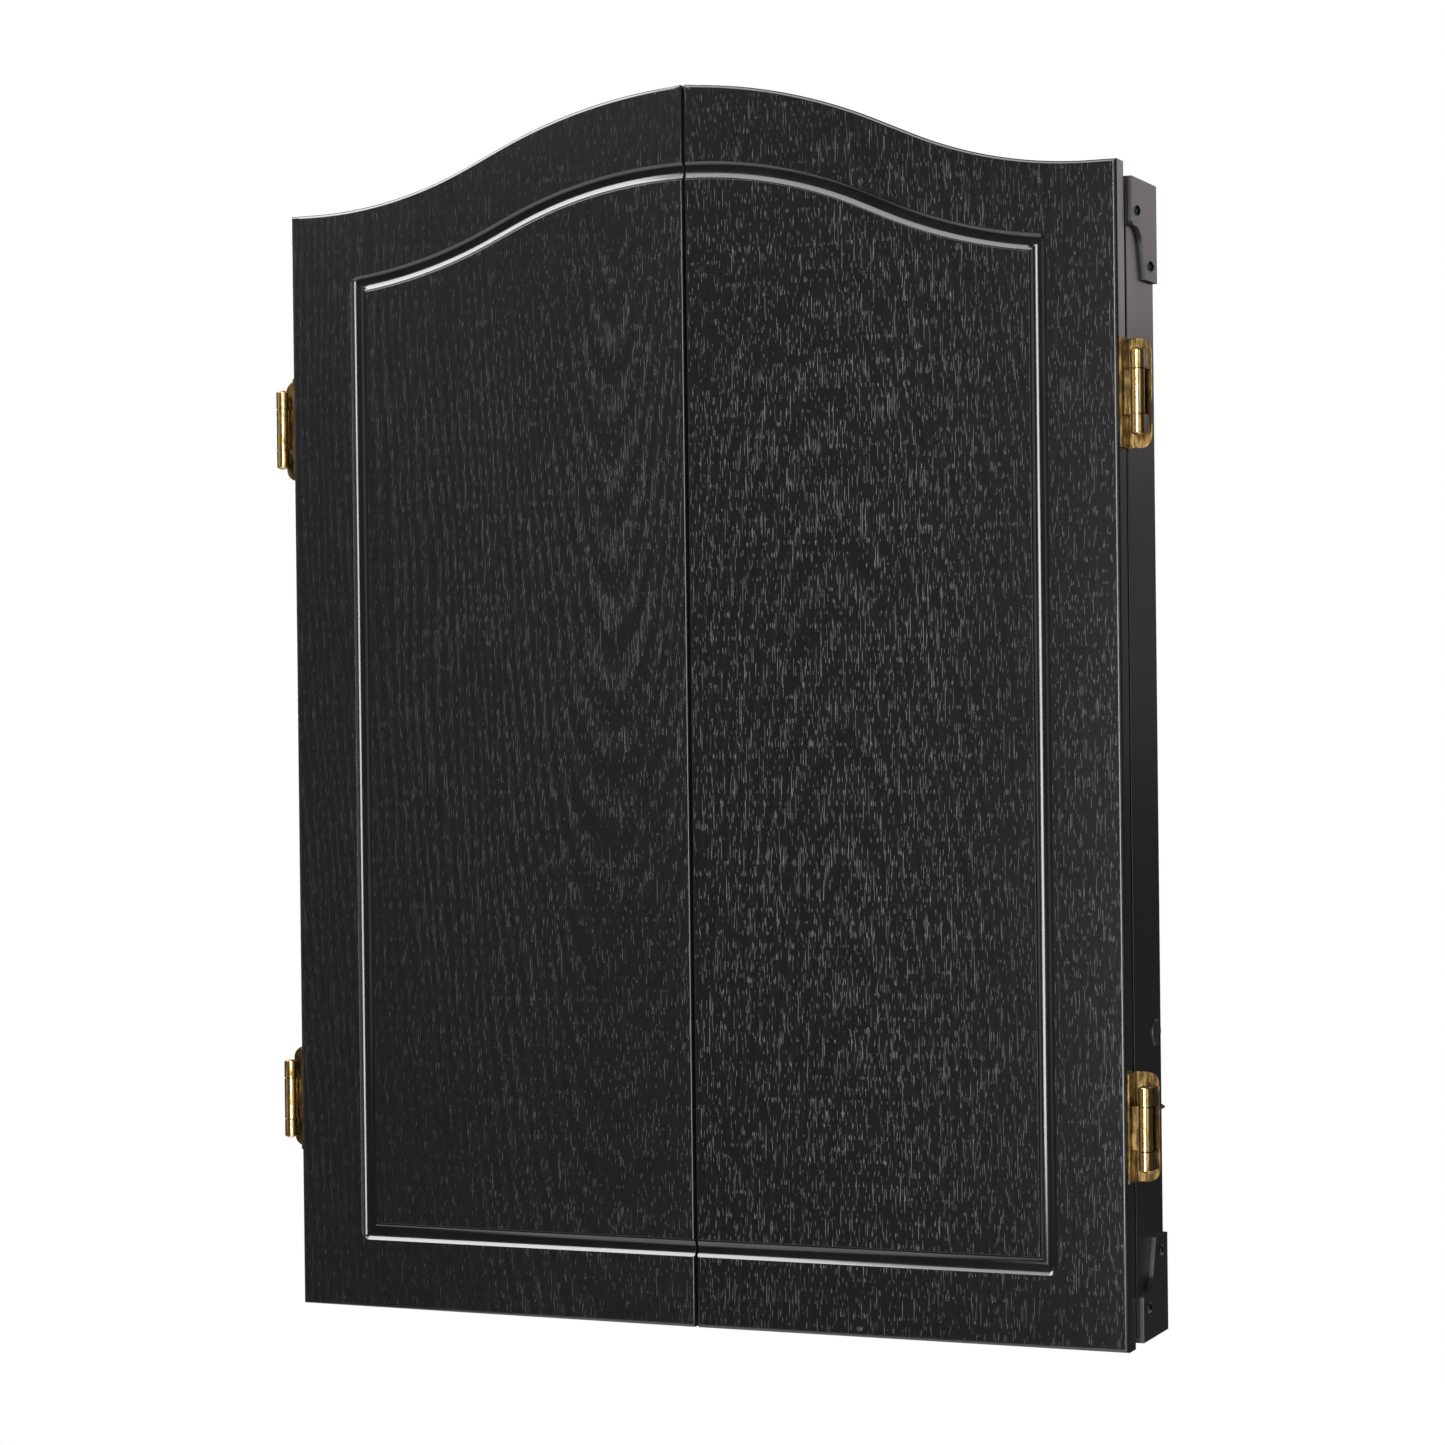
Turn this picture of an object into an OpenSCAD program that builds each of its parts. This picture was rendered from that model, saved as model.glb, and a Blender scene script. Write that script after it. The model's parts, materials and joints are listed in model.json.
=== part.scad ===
// Dart board cabinet: a shallow wall-hung box closed by two arched doors.
// X runs to the right, Y to the back and Z up.  The origin lies on the wall plane,
// straight behind the centre of the board that the cabinet holds.

/* [Box] */
// Width of the box and of the closed pair of doors
cabinet_w = 510; // [500:1:560]
// Height of the wooden box
box_h = 634; // [620:1:700]
// Depth of the wooden box, from the wall to its front edge
box_d = 52; // [50:0.5:70]
// Thickness of the four rails
rail_t = 15; // [12:0.5:18]
// Thickness of the back panel
back_t = 6; // [5:0.5:6]
// Width of the rabbet that takes the back panel
rabbet_w = 7; // [5:0.5:9]
// Height of the two battens that carry the wall screws
batten_h = 58; // [50:1:60]
// Thickness of the two battens
batten_t = 9; // [6:0.5:10]

/* [Wall screws] */
// Distance between the wall holes, side to side: one stud spacing
wall_hole_dx = 406.4; // [300:0.1:420]
// Distance between the wall holes, top to bottom
wall_hole_dz = 544; // [540:1:560]
// Diameter of the wall holes
wall_hole_d = 6; // [5:0.1:7]

/* [Doors] */
// Thickness of a door
door_t = 14; // [13:0.5:18]
// Height of a door at its hinge edge
door_side_h = 648; // [645:1:660]
// How far a door hangs below the box
door_drop = 4.6; // [3:0.1:8]
// Space between the box and the closed doors
door_gap = 4; // [3.6:0.1:5]
// Space between the two doors
seam = 1.6; // [1:0.1:3]

/* [Arch] */
// Rise of the arch above the hinge edges
arch_rise = 59; // [55:1:65]
// Radius of the crown
crown_r = 320; // [300:1:330]
// Slope of the crown where the doors meet
crown_tip = 2.6; // [0:0.1:5]
// Steepest slope of the arch
arch_slope = 24; // [23:0.5:26]
// Radius of the cove that runs out to the corner
cove_r = 250; // [230:1:255]

/* [Groove] */
// Distance from the edge of a door to the groove
groove_margin = 40; // [30:1:50]
// Width of the groove
groove_w = 10; // [6:0.5:14]
// Depth of the groove
groove_depth = 3.5; // [2:0.1:5]
// Rise of the groove's arch
groove_rise = 55; // [53:1:58]
// Radius of the groove's crown
groove_crown_r = 267; // [255:1:275]

/* [Hinges] */
// Height of a hinge leaf
leaf_h = 60; // [56:1:70]
// Thickness of a hinge leaf
leaf_t = 1.2; // [1:0.1:1.4]
// How far the frame leaf stands out beyond the box
leaf_out = 14; // [13.5:0.1:16]
// Distance from the edge of a door to the hinge axis
axis_out = 9.5; // [9:0.1:10]
// Distance from the front of a door back to the hinge axis
axis_in = 4.5; // [4:0.1:5]
// Outer diameter of a hinge knuckle
knuckle_d = 7.6; // [7:0.1:8]
// Diameter of a hinge pin
pin_d = 4.8; // [4:0.1:5]
// Height of the middle knuckle
knuckle_mid_h = 24; // [20:1:26]
// Height of an end knuckle
knuckle_end_h = 10; // [8:0.5:11]
// Distance of each hinge from mid height
hinge_z = 200; // [180:1:220]

/* [Corner brackets] */
// Thickness of a corner bracket
bracket_t = 2.5; // [2:0.1:3]
// Width of a corner bracket
bracket_w = 48.5; // [46:0.5:50]
// Length of each leg of a corner bracket
bracket_l = 54.5; // [52:0.5:58]

/* [Hidden] */
$fn = 64;
half_w = cabinet_w / 2;
half_h = box_h / 2;
in_x = half_w - rail_t;               // inner face of a side rail
in_z = half_h - rail_t;               // inner face of the top and bottom rails
front_y = -box_d;                     // front edge of the box
door_back = front_y - door_gap;       // back face of the closed doors
door_front = door_back - door_t;      // front face of the closed doors
door_bottom = -half_h - door_drop;
axis_x = half_w + axis_out;
axis_y = door_front + axis_in;
pin_play = 0.05;                      // radial clearance of a pin in the door's knuckle
pin_grip = 0.02;                      // radial interference of a pin in the frame's knuckles
knuckle_gap = 0.4;                    // height between neighbouring knuckles
knuckle_r = knuckle_d / 2;
pin_r = pin_d / 2;
arc_steps = 18;                       // straight steps that stand for each arc of the arch

score_x = [28, 220];                  // near and far edge of a scoreboard, clear of the door leaves
score_z = [-110, 272];                // bottom and top of a scoreboard
score_t = 3;
trim_w = 7;                           // width and thickness of the strips round a scoreboard
trim_t = 4.5;
tray_x = [30, 138];                   // near and far end of a chalk tray
tray_z = [-248, -240];
tray_d = 20;
tray_wall = 3;                        // walls and floor of the trough
rack_x = [150, 234];                  // near and far end of a dart rack
rack_z = [-264, -252];
rack_d = 26;
dart_hole_d = 8;
dart_pitch = 26;                      // distance between neighbouring dart holes
dart_holes_x = [for (i = [0:2]) 166 + dart_pitch * i];
dart_hole_y = door_back + 14;
catch_half_w = 32;                    // half the width and height of a catch's case
catch_half_h = 5.5;
catch_d = 16;                         // how far the case runs back from the front of the box
catch_x = 18;                         // middle of each magnet, left and right of the seam
catch_z = in_z - catch_half_h;        // middle height of the upper catch
catch_screw_d = 8;                    // how far its screw lies behind the front of the box
magnet_half_w = 9;
magnet_half_h = 1.7;
magnet_d = 12;                        // how far a magnet runs back from the front of the box
pole_t = 1.5;                         // thickness of a magnet's pole plate
pocket_half_h = magnet_half_h + pole_t;
strike_t = 1;
strike_half_w = 12;
strike_gap = 0.4;                     // what a closed door leaves in front of the pole plates
bumper_gap = 0.4;                     // what a closed door leaves in front of a bumper
bumper_r = 4;
bumper_in = 22;                       // distance from the end of a side rail to its bumper
cap_at = [-12, -152.3];               // place of the side cap, as Y and Z
stud_at = [-9, -194];                 // place of the pointed side stud, as Y and Z
stem_d = 10;                          // stem of the side cap, let into the rail
shank_l = 8;                          // how deep the side cap and the side stud go in
cap_d = 15;
hole_play = 1;                        // how far a cutter runs past the face that it cuts
screw_hole_r = 1.6;                   // hole of a round-head screw in sheet metal

// ---- small helpers -------------------------------------------------------

// A box from its lowest corner to its highest corner
module block(low, high) {
    translate(low) cube(high - low);
}

// What stands on the left (side = -1) is the mirror image of what stands on the right
module on_side(side) {
    mirror([side < 0 ? 1 : 0, 0, 0]) children();
}

// What stands at the bottom (level = -1) is the mirror image of what stands at the top
module at_level(level) {
    mirror([0, 0, level < 0 ? 1 : 0]) children();
}

// A flat outline in X and Z, from the face at y = from to the face at y = to
module plate_xz(from, to) {
    translate([0, max(from, to), 0]) rotate([90, 0, 0])
        linear_extrude(abs(to - from)) children();
}

// A rod or hole along Y, from y = from to y = to
module rod_y(x, z, r, from, to) {
    translate([x, max(from, to), z]) rotate([90, 0, 0]) cylinder(r = r, h = abs(to - from));
}

// Points of an arc about c, from angle a0 to angle a1, counted from +X
function arc(c, r, a0, a1, steps) =
    [for (i = [0:steps]) let (a = a0 + (a1 - a0) * i / steps) c + r * [cos(a), sin(a)]];

// ---- screws --------------------------------------------------------------

// A countersunk screw along -Z with its flat head's face at z = 0
module flat_screw(length, r = 1.5, head_r = 2.9, head_h = 1.2) {
    translate([0, 0, -head_h]) cylinder(r1 = r, r2 = head_r, h = head_h);
    translate([0, 0, -length]) cylinder(r = r, h = length - head_h);
}

// The hole that a countersunk screw sits in, a hair wider than the screw
module flat_screw_hole(length, r = 1.5, head_r = 2.9, head_h = 1.2, ease = 0.05) {
    translate([0, 0, -head_h]) cylinder(r1 = r + ease, r2 = head_r + ease, h = head_h + 0.01);
    translate([0, 0, -length]) cylinder(r = r + ease, h = length);
}

// A round-head screw along -Z with its head standing on z = 0
module round_screw(length, r = 1.5, head_r = 3.1, head_h = 1.9) {
    ball_r = (head_r * head_r + head_h * head_h) / (2 * head_h);
    intersection() {
        translate([0, 0, head_h - ball_r]) sphere(r = ball_r);
        cylinder(r = head_r + 1, h = head_h + 1);
    }
    translate([0, 0, -length]) cylinder(r = r, h = length);
}

// ---- the arch ------------------------------------------------------------

// Length of the straight stretch between crown and cove
function arch_straight(rise, crown, tip, cove) =
    (rise - crown * (cos(tip) - cos(arch_slope)) - cove * (1 - cos(arch_slope))) / sin(arch_slope);

// Distance from the seam to where the cove runs level
function arch_run(rise, crown, tip, cove) =
    crown * (sin(arch_slope) - sin(tip)) + cove * sin(arch_slope)
    + arch_straight(rise, crown, tip, cove) * cos(arch_slope);

// Right half of an arch from x0 near the seam to x1, its level stretch at height base,
// moved outwards along its normal by shift
function arch_curve(x0, x1, base, rise, crown, tip, cove, shift = 0) =
    let (
        crown_at = [-crown * sin(tip), base + rise - crown * cos(tip)],
        cove_at = [arch_run(rise, crown, tip, cove), base + cove],
        first = asin((x0 - crown_at.x) / (crown + shift)),
        last = x1 >= cove_at.x ? 0 : asin((cove_at.x - x1) / (cove - shift))
    )
    concat(
        arc(crown_at, crown + shift, 90 - first, 90 - arch_slope, arc_steps),
        arc(cove_at, cove - shift, 270 - arch_slope, 270 - last, arc_steps),
        x1 > cove_at.x ? [[x1, base + shift]] : []
    );

// Outline of the right door, closed at the seam
module door_outline() {
    top = door_bottom + door_side_h;
    polygon(concat(
        [[half_w, door_bottom], [seam / 2, door_bottom]],
        arch_curve(seam / 2, half_w, top, arch_rise, crown_r, crown_tip, cove_r)
    ));
}

// What lies inside one edge of the groove on the right door: out = 1 outer, -1 inner edge
module groove_outline(out) {
    inset = groove_margin + groove_w / 2;
    shift = out * groove_w / 2;
    x1 = half_w - inset + shift;
    base = door_bottom + door_side_h - inset;
    polygon(concat(
        [[x1, door_bottom + inset - shift], [0, door_bottom + inset - shift]],
        arch_curve(0, x1, base, groove_rise, groove_crown_r, 0, cove_r + inset, shift)
    ));
}

// ---- box -----------------------------------------------------------------

module side_rail(side) {
    color("#17171a") on_side(side) difference() {
        block([in_x, front_y, -half_h], [half_w, 0, half_h]);
        block([in_x - 1, -back_t, -in_z - rabbet_w], [in_x + rabbet_w, 1, in_z + rabbet_w]);
        if (side > 0)
            translate([half_w - shank_l, cap_at.x, cap_at.y]) rotate([0, 90, 0])
                cylinder(d = stem_d, h = shank_l + hole_play);
    }
}

module cross_rail(level) {
    color("#17171a") at_level(level) difference() {
        block([-in_x, front_y, in_z], [in_x, 0, half_h]);
        block([-in_x - 1, -back_t, in_z - 1], [in_x + 1, 1, in_z + rabbet_w]);
    }
}

module wall_holes() {
    for (x = [-1, 1], z = [-1, 1])
        rod_y(x * wall_hole_dx / 2, z * wall_hole_dz / 2, wall_hole_d / 2, -back_t - batten_t - 1, 1);
}

module back_panel() {
    color("#3a2f27") difference() {
        block([-in_x - rabbet_w, -back_t, -in_z - rabbet_w], [in_x + rabbet_w, 0, in_z + rabbet_w]);
        wall_holes();
    }
}

module batten(level) {
    color("#1c1b1c") difference() {
        at_level(level) block([-in_x, -back_t - batten_t, in_z - batten_h], [in_x, -back_t, in_z]);
        wall_holes();
    }
}

// ---- bracket that the board hangs on -------------------------------------

bracket_screw_at = [29, 16];          // screws of the board bracket, from its middle
bracket_sheet = 1.5;                  // thickness of its sheet
board_slot_r = 3.5;                   // half the width of its slot

// A raised web with an open slot from its middle up, between two flanges
module board_bracket() {
    web_x = 22;
    flange_x = 36;
    half = 28;
    sheet = bracket_sheet;
    lift = 4;
    web_y = -back_t - lift;
    color("#b8bbbf") difference() {
        union() {
            block([-web_x, web_y, -half], [web_x, web_y + sheet, half]);
            for (side = [-1, 1]) on_side(side) {
                block([web_x - sheet, web_y, -half], [web_x, -back_t, half]);
                block([web_x - sheet, -back_t - sheet, -half], [flange_x, -back_t, half]);
            }
        }
        plate_xz(web_y - 1, -back_t + 1) {
            circle(r = board_slot_r);
            translate([-board_slot_r, 0]) square([2 * board_slot_r, half + hole_play]);
        }
        for (x = [-1, 1], z = [-1, 1])
            rod_y(x * bracket_screw_at.x, z * bracket_screw_at.y, screw_hole_r,
                  -back_t - sheet - hole_play, -back_t + hole_play);
    }
}

module board_bracket_screws() {
    color("#c9ccd0") for (x = [-1, 1], z = [-1, 1])
        translate([x * bracket_screw_at.x, -back_t - bracket_sheet, z * bracket_screw_at.y])
            rotate([90, 0, 0]) round_screw(length = 6);
}

// ---- corner brackets -----------------------------------------------------

lobe_h = 27;                          // reach of a leg at its front lobe
lobe_r = 4;                           // rounding of the lobe's outer corner
cove_leg_r = 12;                      // hollow curve between lobe and tail
tail_u = 25.5;                        // front edge of the tail at its tip
corner_screw_l = 14;
leg_screws = [[10.5, 18], [36, 46]];  // screws of a side leg: back from the front, down the leg
cross_screws = [[10.5, 22], [36, 46]];

// Outline of one leg: u runs back from the front edge, v along the leg from the corner
module leg_outline() {
    polygon(concat(
        [[0, 0]],
        arc([lobe_r, lobe_h - lobe_r], lobe_r, 180, 90, 6),
        arc([2 * lobe_r, lobe_h + cove_leg_r], cove_leg_r, 270, 348, 12),
        [[tail_u, bracket_l], [bracket_w, bracket_l], [bracket_w, 0]]
    ));
}

// Flat leg on the outside of the right side rail, reaching down from the top corner
module side_leg() {
    translate([half_w, -bracket_w, half_h + bracket_t]) rotate([0, 90, 0])
        linear_extrude(bracket_t) rotate(90) mirror([0, 1, 0]) leg_outline();
}

// Flat leg on top of the top rail, reaching in from the right corner
module cross_leg() {
    translate([half_w + bracket_t, -bracket_w, half_h])
        linear_extrude(bracket_t) rotate(90) leg_outline();
}

module corner_bracket(side, level) {
    color("#101011") on_side(side) at_level(level) difference() {
        union() {
            side_leg();
            cross_leg();
        }
        for (s = leg_screws)
            translate([half_w - hole_play, s.x - bracket_w, half_h + bracket_t - s.y])
                rotate([0, 90, 0]) cylinder(r = screw_hole_r, h = bracket_t + 2 * hole_play);
        for (s = cross_screws)
            translate([half_w + bracket_t - s.y, s.x - bracket_w, half_h - hole_play])
                cylinder(r = screw_hole_r, h = bracket_t + 2 * hole_play);
    }
}

module corner_bracket_screws() {
    color("#1a1a1c") for (side = [-1, 1], level = [-1, 1]) on_side(side) at_level(level) {
        for (s = leg_screws)
            translate([half_w + bracket_t, s.x - bracket_w, half_h + bracket_t - s.y])
                rotate([0, 90, 0]) round_screw(corner_screw_l);
        for (s = cross_screws)
            translate([half_w + bracket_t - s.y, s.x - bracket_w, half_h + bracket_t])
                round_screw(corner_screw_l);
    }
}

// ---- small pieces on the side --------------------------------------------

// Low round cap with a stem in the side rail and a small hole off its middle
module side_cap() {
    rim_h = 1;
    slope_h = 0.8;
    face_d = 12;
    eye_d = 5;
    eye_at = [2.4, 4];
    eye_depth = 2.5;
    color("#2a2a2b") translate([half_w, cap_at.x, cap_at.y]) rotate([0, 90, 0]) difference() {
        union() {
            translate([0, 0, -shank_l]) cylinder(d = stem_d, h = shank_l);
            cylinder(d = cap_d, h = rim_h);
            translate([0, 0, rim_h]) cylinder(d1 = cap_d, d2 = face_d, h = slope_h);
        }
        translate([eye_at.x, eye_at.y, -eye_depth]) cylinder(d = eye_d, h = 2 * eye_depth);
    }
}

// Pointed stud with its shank in the side rail
module side_stud() {
    color("#3a3a3c") translate([half_w, stud_at.x, stud_at.y]) rotate([0, 90, 0]) {
        cylinder(r1 = 3.2, r2 = 0.3, h = 4.5);
        translate([0, 0, -shank_l]) cylinder(r = 1.5, h = shank_l);
    }
}

// ---- catches and bumpers -------------------------------------------------

catch_front = door_back + strike_t + strike_gap;

// Plastic case under the top rail, with a pocket for each magnet
module catch_case(level) {
    color("#141414") at_level(level) difference() {
        block([-catch_half_w, catch_front + 1, catch_z - catch_half_h],
              [catch_half_w, front_y + catch_d, catch_z + catch_half_h]);
        for (x = [-catch_x, catch_x])
            block([x - magnet_half_w, catch_front, catch_z - pocket_half_h],
                  [x + magnet_half_w, front_y + magnet_d, catch_z + pocket_half_h]);
        translate([0, front_y + catch_screw_d, catch_z - catch_half_h]) rotate([180, 0, 0])
            flat_screw_hole(length = 12);
    }
}

// A magnet between two steel pole plates, one set for each door in each catch
module catch_magnets() {
    color("#8c8f93") for (level = [-1, 1], x = [-catch_x, catch_x]) at_level(level) {
        block([x - magnet_half_w, catch_front + 2, catch_z - magnet_half_h],
              [x + magnet_half_w, front_y + magnet_d, catch_z + magnet_half_h]);
        for (z = [catch_z - pocket_half_h, catch_z + magnet_half_h])
            block([x - magnet_half_w, catch_front, z],
                  [x + magnet_half_w, front_y + magnet_d, z + pole_t]);
    }
}

module catch_screws() {
    color("#b9bcc0") for (level = [-1, 1]) at_level(level)
        translate([0, front_y + catch_screw_d, catch_z - catch_half_h]) rotate([180, 0, 0])
            flat_screw(length = 18);
}

module door_bumpers() {
    high = door_gap - bumper_gap;
    ball_r = (bumper_r * bumper_r + high * high) / (2 * high);
    color("#2b2b2b") for (x = [-1, 1], z = [-1, 1])
        translate([x * (half_w - rail_t / 2), front_y, z * (half_h - bumper_in)])
            rotate([90, 0, 0]) intersection() {
                translate([0, 0, high - ball_r]) sphere(r = ball_r);
                cylinder(r = bumper_r + 1, h = high + 1);
            }
}

// ---- doors ---------------------------------------------------------------

module door(side) {
    color("#1d1e20") on_side(side) difference() {
        plate_xz(door_front, door_back) door_outline();
        translate([0, door_front - 1, 0]) plate_xz(0, groove_depth + 1) difference() {
            groove_outline(1);
            groove_outline(-1);
        }
    }
}

module scoreboard(side) {
    color("#26282a") on_side(side)
        block([score_x[0], door_back, score_z[0]], [score_x[1], door_back + score_t, score_z[1]]);
}

// Four strips, mitred at the corners, that hold the scoreboard's edge
module scoreboard_trim(side) {
    size = [score_x[1] - score_x[0], score_z[1] - score_z[0]];
    color("#141415") on_side(side) plate_xz(door_back, door_back + trim_t)
        translate([score_x[0], score_z[0]]) difference() {
            translate([-trim_w, -trim_w]) square(size + [2 * trim_w, 2 * trim_w]);
            square(size);
        }
}

// A ledge with a shallow trough
module chalk_tray(side) {
    color("#1b1b1d") on_side(side) difference() {
        block([tray_x[0], door_back, tray_z[0]], [tray_x[1], door_back + tray_d, tray_z[1]]);
        block([tray_x[0] + tray_wall, door_back + tray_wall, tray_z[0] + tray_wall],
              [tray_x[1] - tray_wall, door_back + tray_d - tray_wall, tray_z[1] + hole_play]);
    }
}

// A block with three upright holes for darts
module dart_rack(side) {
    color("#1b1b1d") on_side(side) difference() {
        block([rack_x[0], door_back, rack_z[0]], [rack_x[1], door_back + rack_d, rack_z[1]]);
        for (x = dart_holes_x)
            translate([x, dart_hole_y, rack_z[0] - 1])
                cylinder(d = dart_hole_d, h = rack_z[1] - rack_z[0] + 2);
    }
}

module strike_screw_places(side) {
    for (level = [-1, 1])
        translate([side * catch_x, door_back + strike_t, level * catch_z]) rotate([-90, 0, 0])
            children();
}

module strike_plates(side) {
    color("#a9acb0") difference() {
        for (level = [-1, 1]) at_level(level) on_side(side)
            block([catch_x - strike_half_w, door_back, catch_z - catch_half_h],
                  [catch_x + strike_half_w, door_back + strike_t, catch_z + catch_half_h]);
        strike_screw_places(side) flat_screw_hole(length = 3, head_h = strike_t);
    }
}

module strike_screws(side) {
    color("#b9bcc0") strike_screw_places(side) flat_screw(length = 9, head_h = strike_t);
}

// ---- hinges --------------------------------------------------------------

leaf_screw_z = 18;                    // screws of a leaf, above and below its middle
frame_screw_x = half_w - rail_t / 2;
door_screw_x = half_w - 12;
corner_r = 7;
door_leaf_w = 24;                     // width of the plate on the back of a door
edge_plate_in = 2;                    // what its edge plate leaves free at the front of the door

// Outline of a leaf from x0 to x1 with round corners at its far edge
module leaf_outline(x0, x1) {
    translate([x0, -leaf_h / 2]) square([x1 - x0 - corner_r, leaf_h]);
    translate([x0, -leaf_h / 2 + corner_r]) square([x1 - x0, leaf_h - 2 * corner_r]);
    for (z = [-1, 1]) translate([x1 - corner_r, z * (leaf_h / 2 - corner_r)]) circle(r = corner_r);
}

// Height of the two ends of a knuckle above the hinge's middle: 0 middle, 1 upper, -1 lower
function knuckle_z(which) = which == 0
    ? [-knuckle_mid_h / 2, knuckle_mid_h / 2]
    : let (a = knuckle_mid_h / 2 + knuckle_gap, b = a + knuckle_end_h)
        which > 0 ? [a, b] : [-b, -a];

module knuckle(which) {
    z = knuckle_z(which);
    translate([axis_x, axis_y, z[0]]) cylinder(r = knuckle_r, h = z[1] - z[0]);
}

module pin_hole(extra) {
    translate([axis_x, axis_y, -leaf_h / 2]) cylinder(r = pin_r + extra, h = leaf_h);
}

// Flat plate on the front edge of the box; two straps at its outer edge roll into the end knuckles
module frame_leaf(side, level) {
    color("#6b5330") on_side(side) translate([0, 0, level * hinge_z]) difference() {
        union() {
            plate_xz(front_y - leaf_t, front_y) leaf_outline(in_x + 1, half_w + leaf_out);
            for (which = [-1, 1]) {
                z = knuckle_z(which);
                block([axis_x + knuckle_r - leaf_t, axis_y, z[0]],
                      [axis_x + knuckle_r, front_y - leaf_t / 2, z[1]]);
                knuckle(which);
            }
        }
        pin_hole(-pin_grip);
        for (z = [-leaf_screw_z, leaf_screw_z])
            translate([frame_screw_x, front_y - leaf_t, z]) rotate([90, 0, 0])
                flat_screw_hole(length = 3);
    }
}

// Plate on the back of the door that wraps round the door's edge and rolls into the middle knuckle
module door_leaf(side, level) {
    z = knuckle_z(0);
    color("#6b5330") on_side(side) translate([0, 0, level * hinge_z]) difference() {
        union() {
            plate_xz(door_back, door_back + leaf_t) mirror([1, 0, 0]) translate([-half_w, 0, 0])
                leaf_outline(-leaf_t, door_leaf_w);
            block([half_w, door_front + edge_plate_in, -leaf_h / 2],
                  [half_w + leaf_t, door_back + leaf_t, leaf_h / 2]);
            block([half_w, axis_y + knuckle_r - leaf_t, z[0]], [axis_x, axis_y + knuckle_r, z[1]]);
            knuckle(0);
        }
        pin_hole(pin_play);
        for (z = [-leaf_screw_z, leaf_screw_z])
            translate([door_screw_x, door_back + leaf_t, z]) rotate([-90, 0, 0])
                flat_screw_hole(length = 3);
    }
}

// Pin with a low dome on each end
module hinge_pin(side, level) {
    end_z = knuckle_z(1)[1];
    dome_r = knuckle_r - 0.3;
    dome_h = 1.3;
    ball_r = (dome_r * dome_r + dome_h * dome_h) / (2 * dome_h);
    color("#a8843f") on_side(side) translate([axis_x, axis_y, level * hinge_z]) {
        translate([0, 0, -end_z]) cylinder(r = pin_r, h = 2 * end_z);
        for (end = [-1, 1]) at_level(end) translate([0, 0, end_z]) intersection() {
            translate([0, 0, dome_h - ball_r]) sphere(r = ball_r);
            cylinder(r = dome_r + 1, h = dome_h + 1);
        }
    }
}

module frame_leaf_screws() {
    color("#6b5330") for (side = [-1, 1], level = [-1, 1], z = [-leaf_screw_z, leaf_screw_z])
        translate([side * frame_screw_x, front_y - leaf_t, level * hinge_z + z])
            rotate([90, 0, 0]) flat_screw(length = 14);
}

module door_leaf_screws(side) {
    color("#6b5330") for (level = [-1, 1], z = [-leaf_screw_z, leaf_screw_z])
        translate([side * door_screw_x, door_back + leaf_t, level * hinge_z + z])
            rotate([-90, 0, 0]) flat_screw(length = 10);
}

// ---- assembly ------------------------------------------------------------

side_rail(-1);  // side_rail_left
side_rail(1);  // side_rail_right
cross_rail(1);  // top_rail
cross_rail(-1);  // bottom_rail
back_panel();
batten(1);  // upper_batten
batten(-1);  // lower_batten
board_bracket();
board_bracket_screws();
corner_bracket(-1, 1);  // corner_bracket_upper_left
corner_bracket(1, 1);  // corner_bracket_upper_right
corner_bracket(-1, -1);  // corner_bracket_lower_left
corner_bracket(1, -1);  // corner_bracket_lower_right
corner_bracket_screws();
side_cap();
side_stud();
catch_case(1);  // catch_upper
catch_case(-1);  // catch_lower
catch_magnets();
catch_screws();
door_bumpers();
door(-1);  // left_door
door(1);  // right_door
scoreboard(-1);  // scoreboard_left
scoreboard(1);  // scoreboard_right
scoreboard_trim(-1);  // scoreboard_trim_left
scoreboard_trim(1);  // scoreboard_trim_right
chalk_tray(-1);  // chalk_tray_left
chalk_tray(1);  // chalk_tray_right
dart_rack(-1);  // dart_rack_left
dart_rack(1);  // dart_rack_right
strike_plates(-1);  // strike_plates_left
strike_plates(1);  // strike_plates_right
strike_screws(-1);  // strike_screws_left
strike_screws(1);  // strike_screws_right
frame_leaf(-1, 1);  // frame_leaf_upper_left
frame_leaf(1, 1);  // frame_leaf_upper_right
frame_leaf(-1, -1);  // frame_leaf_lower_left
frame_leaf(1, -1);  // frame_leaf_lower_right
door_leaf(-1, 1);  // door_leaf_upper_left
door_leaf(1, 1);  // door_leaf_upper_right
door_leaf(-1, -1);  // door_leaf_lower_left
door_leaf(1, -1);  // door_leaf_lower_right
hinge_pin(-1, 1);  // hinge_pin_upper_left
hinge_pin(1, 1);  // hinge_pin_upper_right
hinge_pin(-1, -1);  // hinge_pin_lower_left
hinge_pin(1, -1);  // hinge_pin_lower_right
frame_leaf_screws();
door_leaf_screws(-1);  // door_leaf_screws_left
door_leaf_screws(1);  // door_leaf_screws_right
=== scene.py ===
"""Dart board cabinet with two arched doors on brass hinges, dressed for a studio view."""

import json
import logging
import math
from collections.abc import Callable, Sequence
from dataclasses import dataclass, field
from enum import Enum

import bmesh
import bpy
from mathutils import Matrix, Vector

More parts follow.
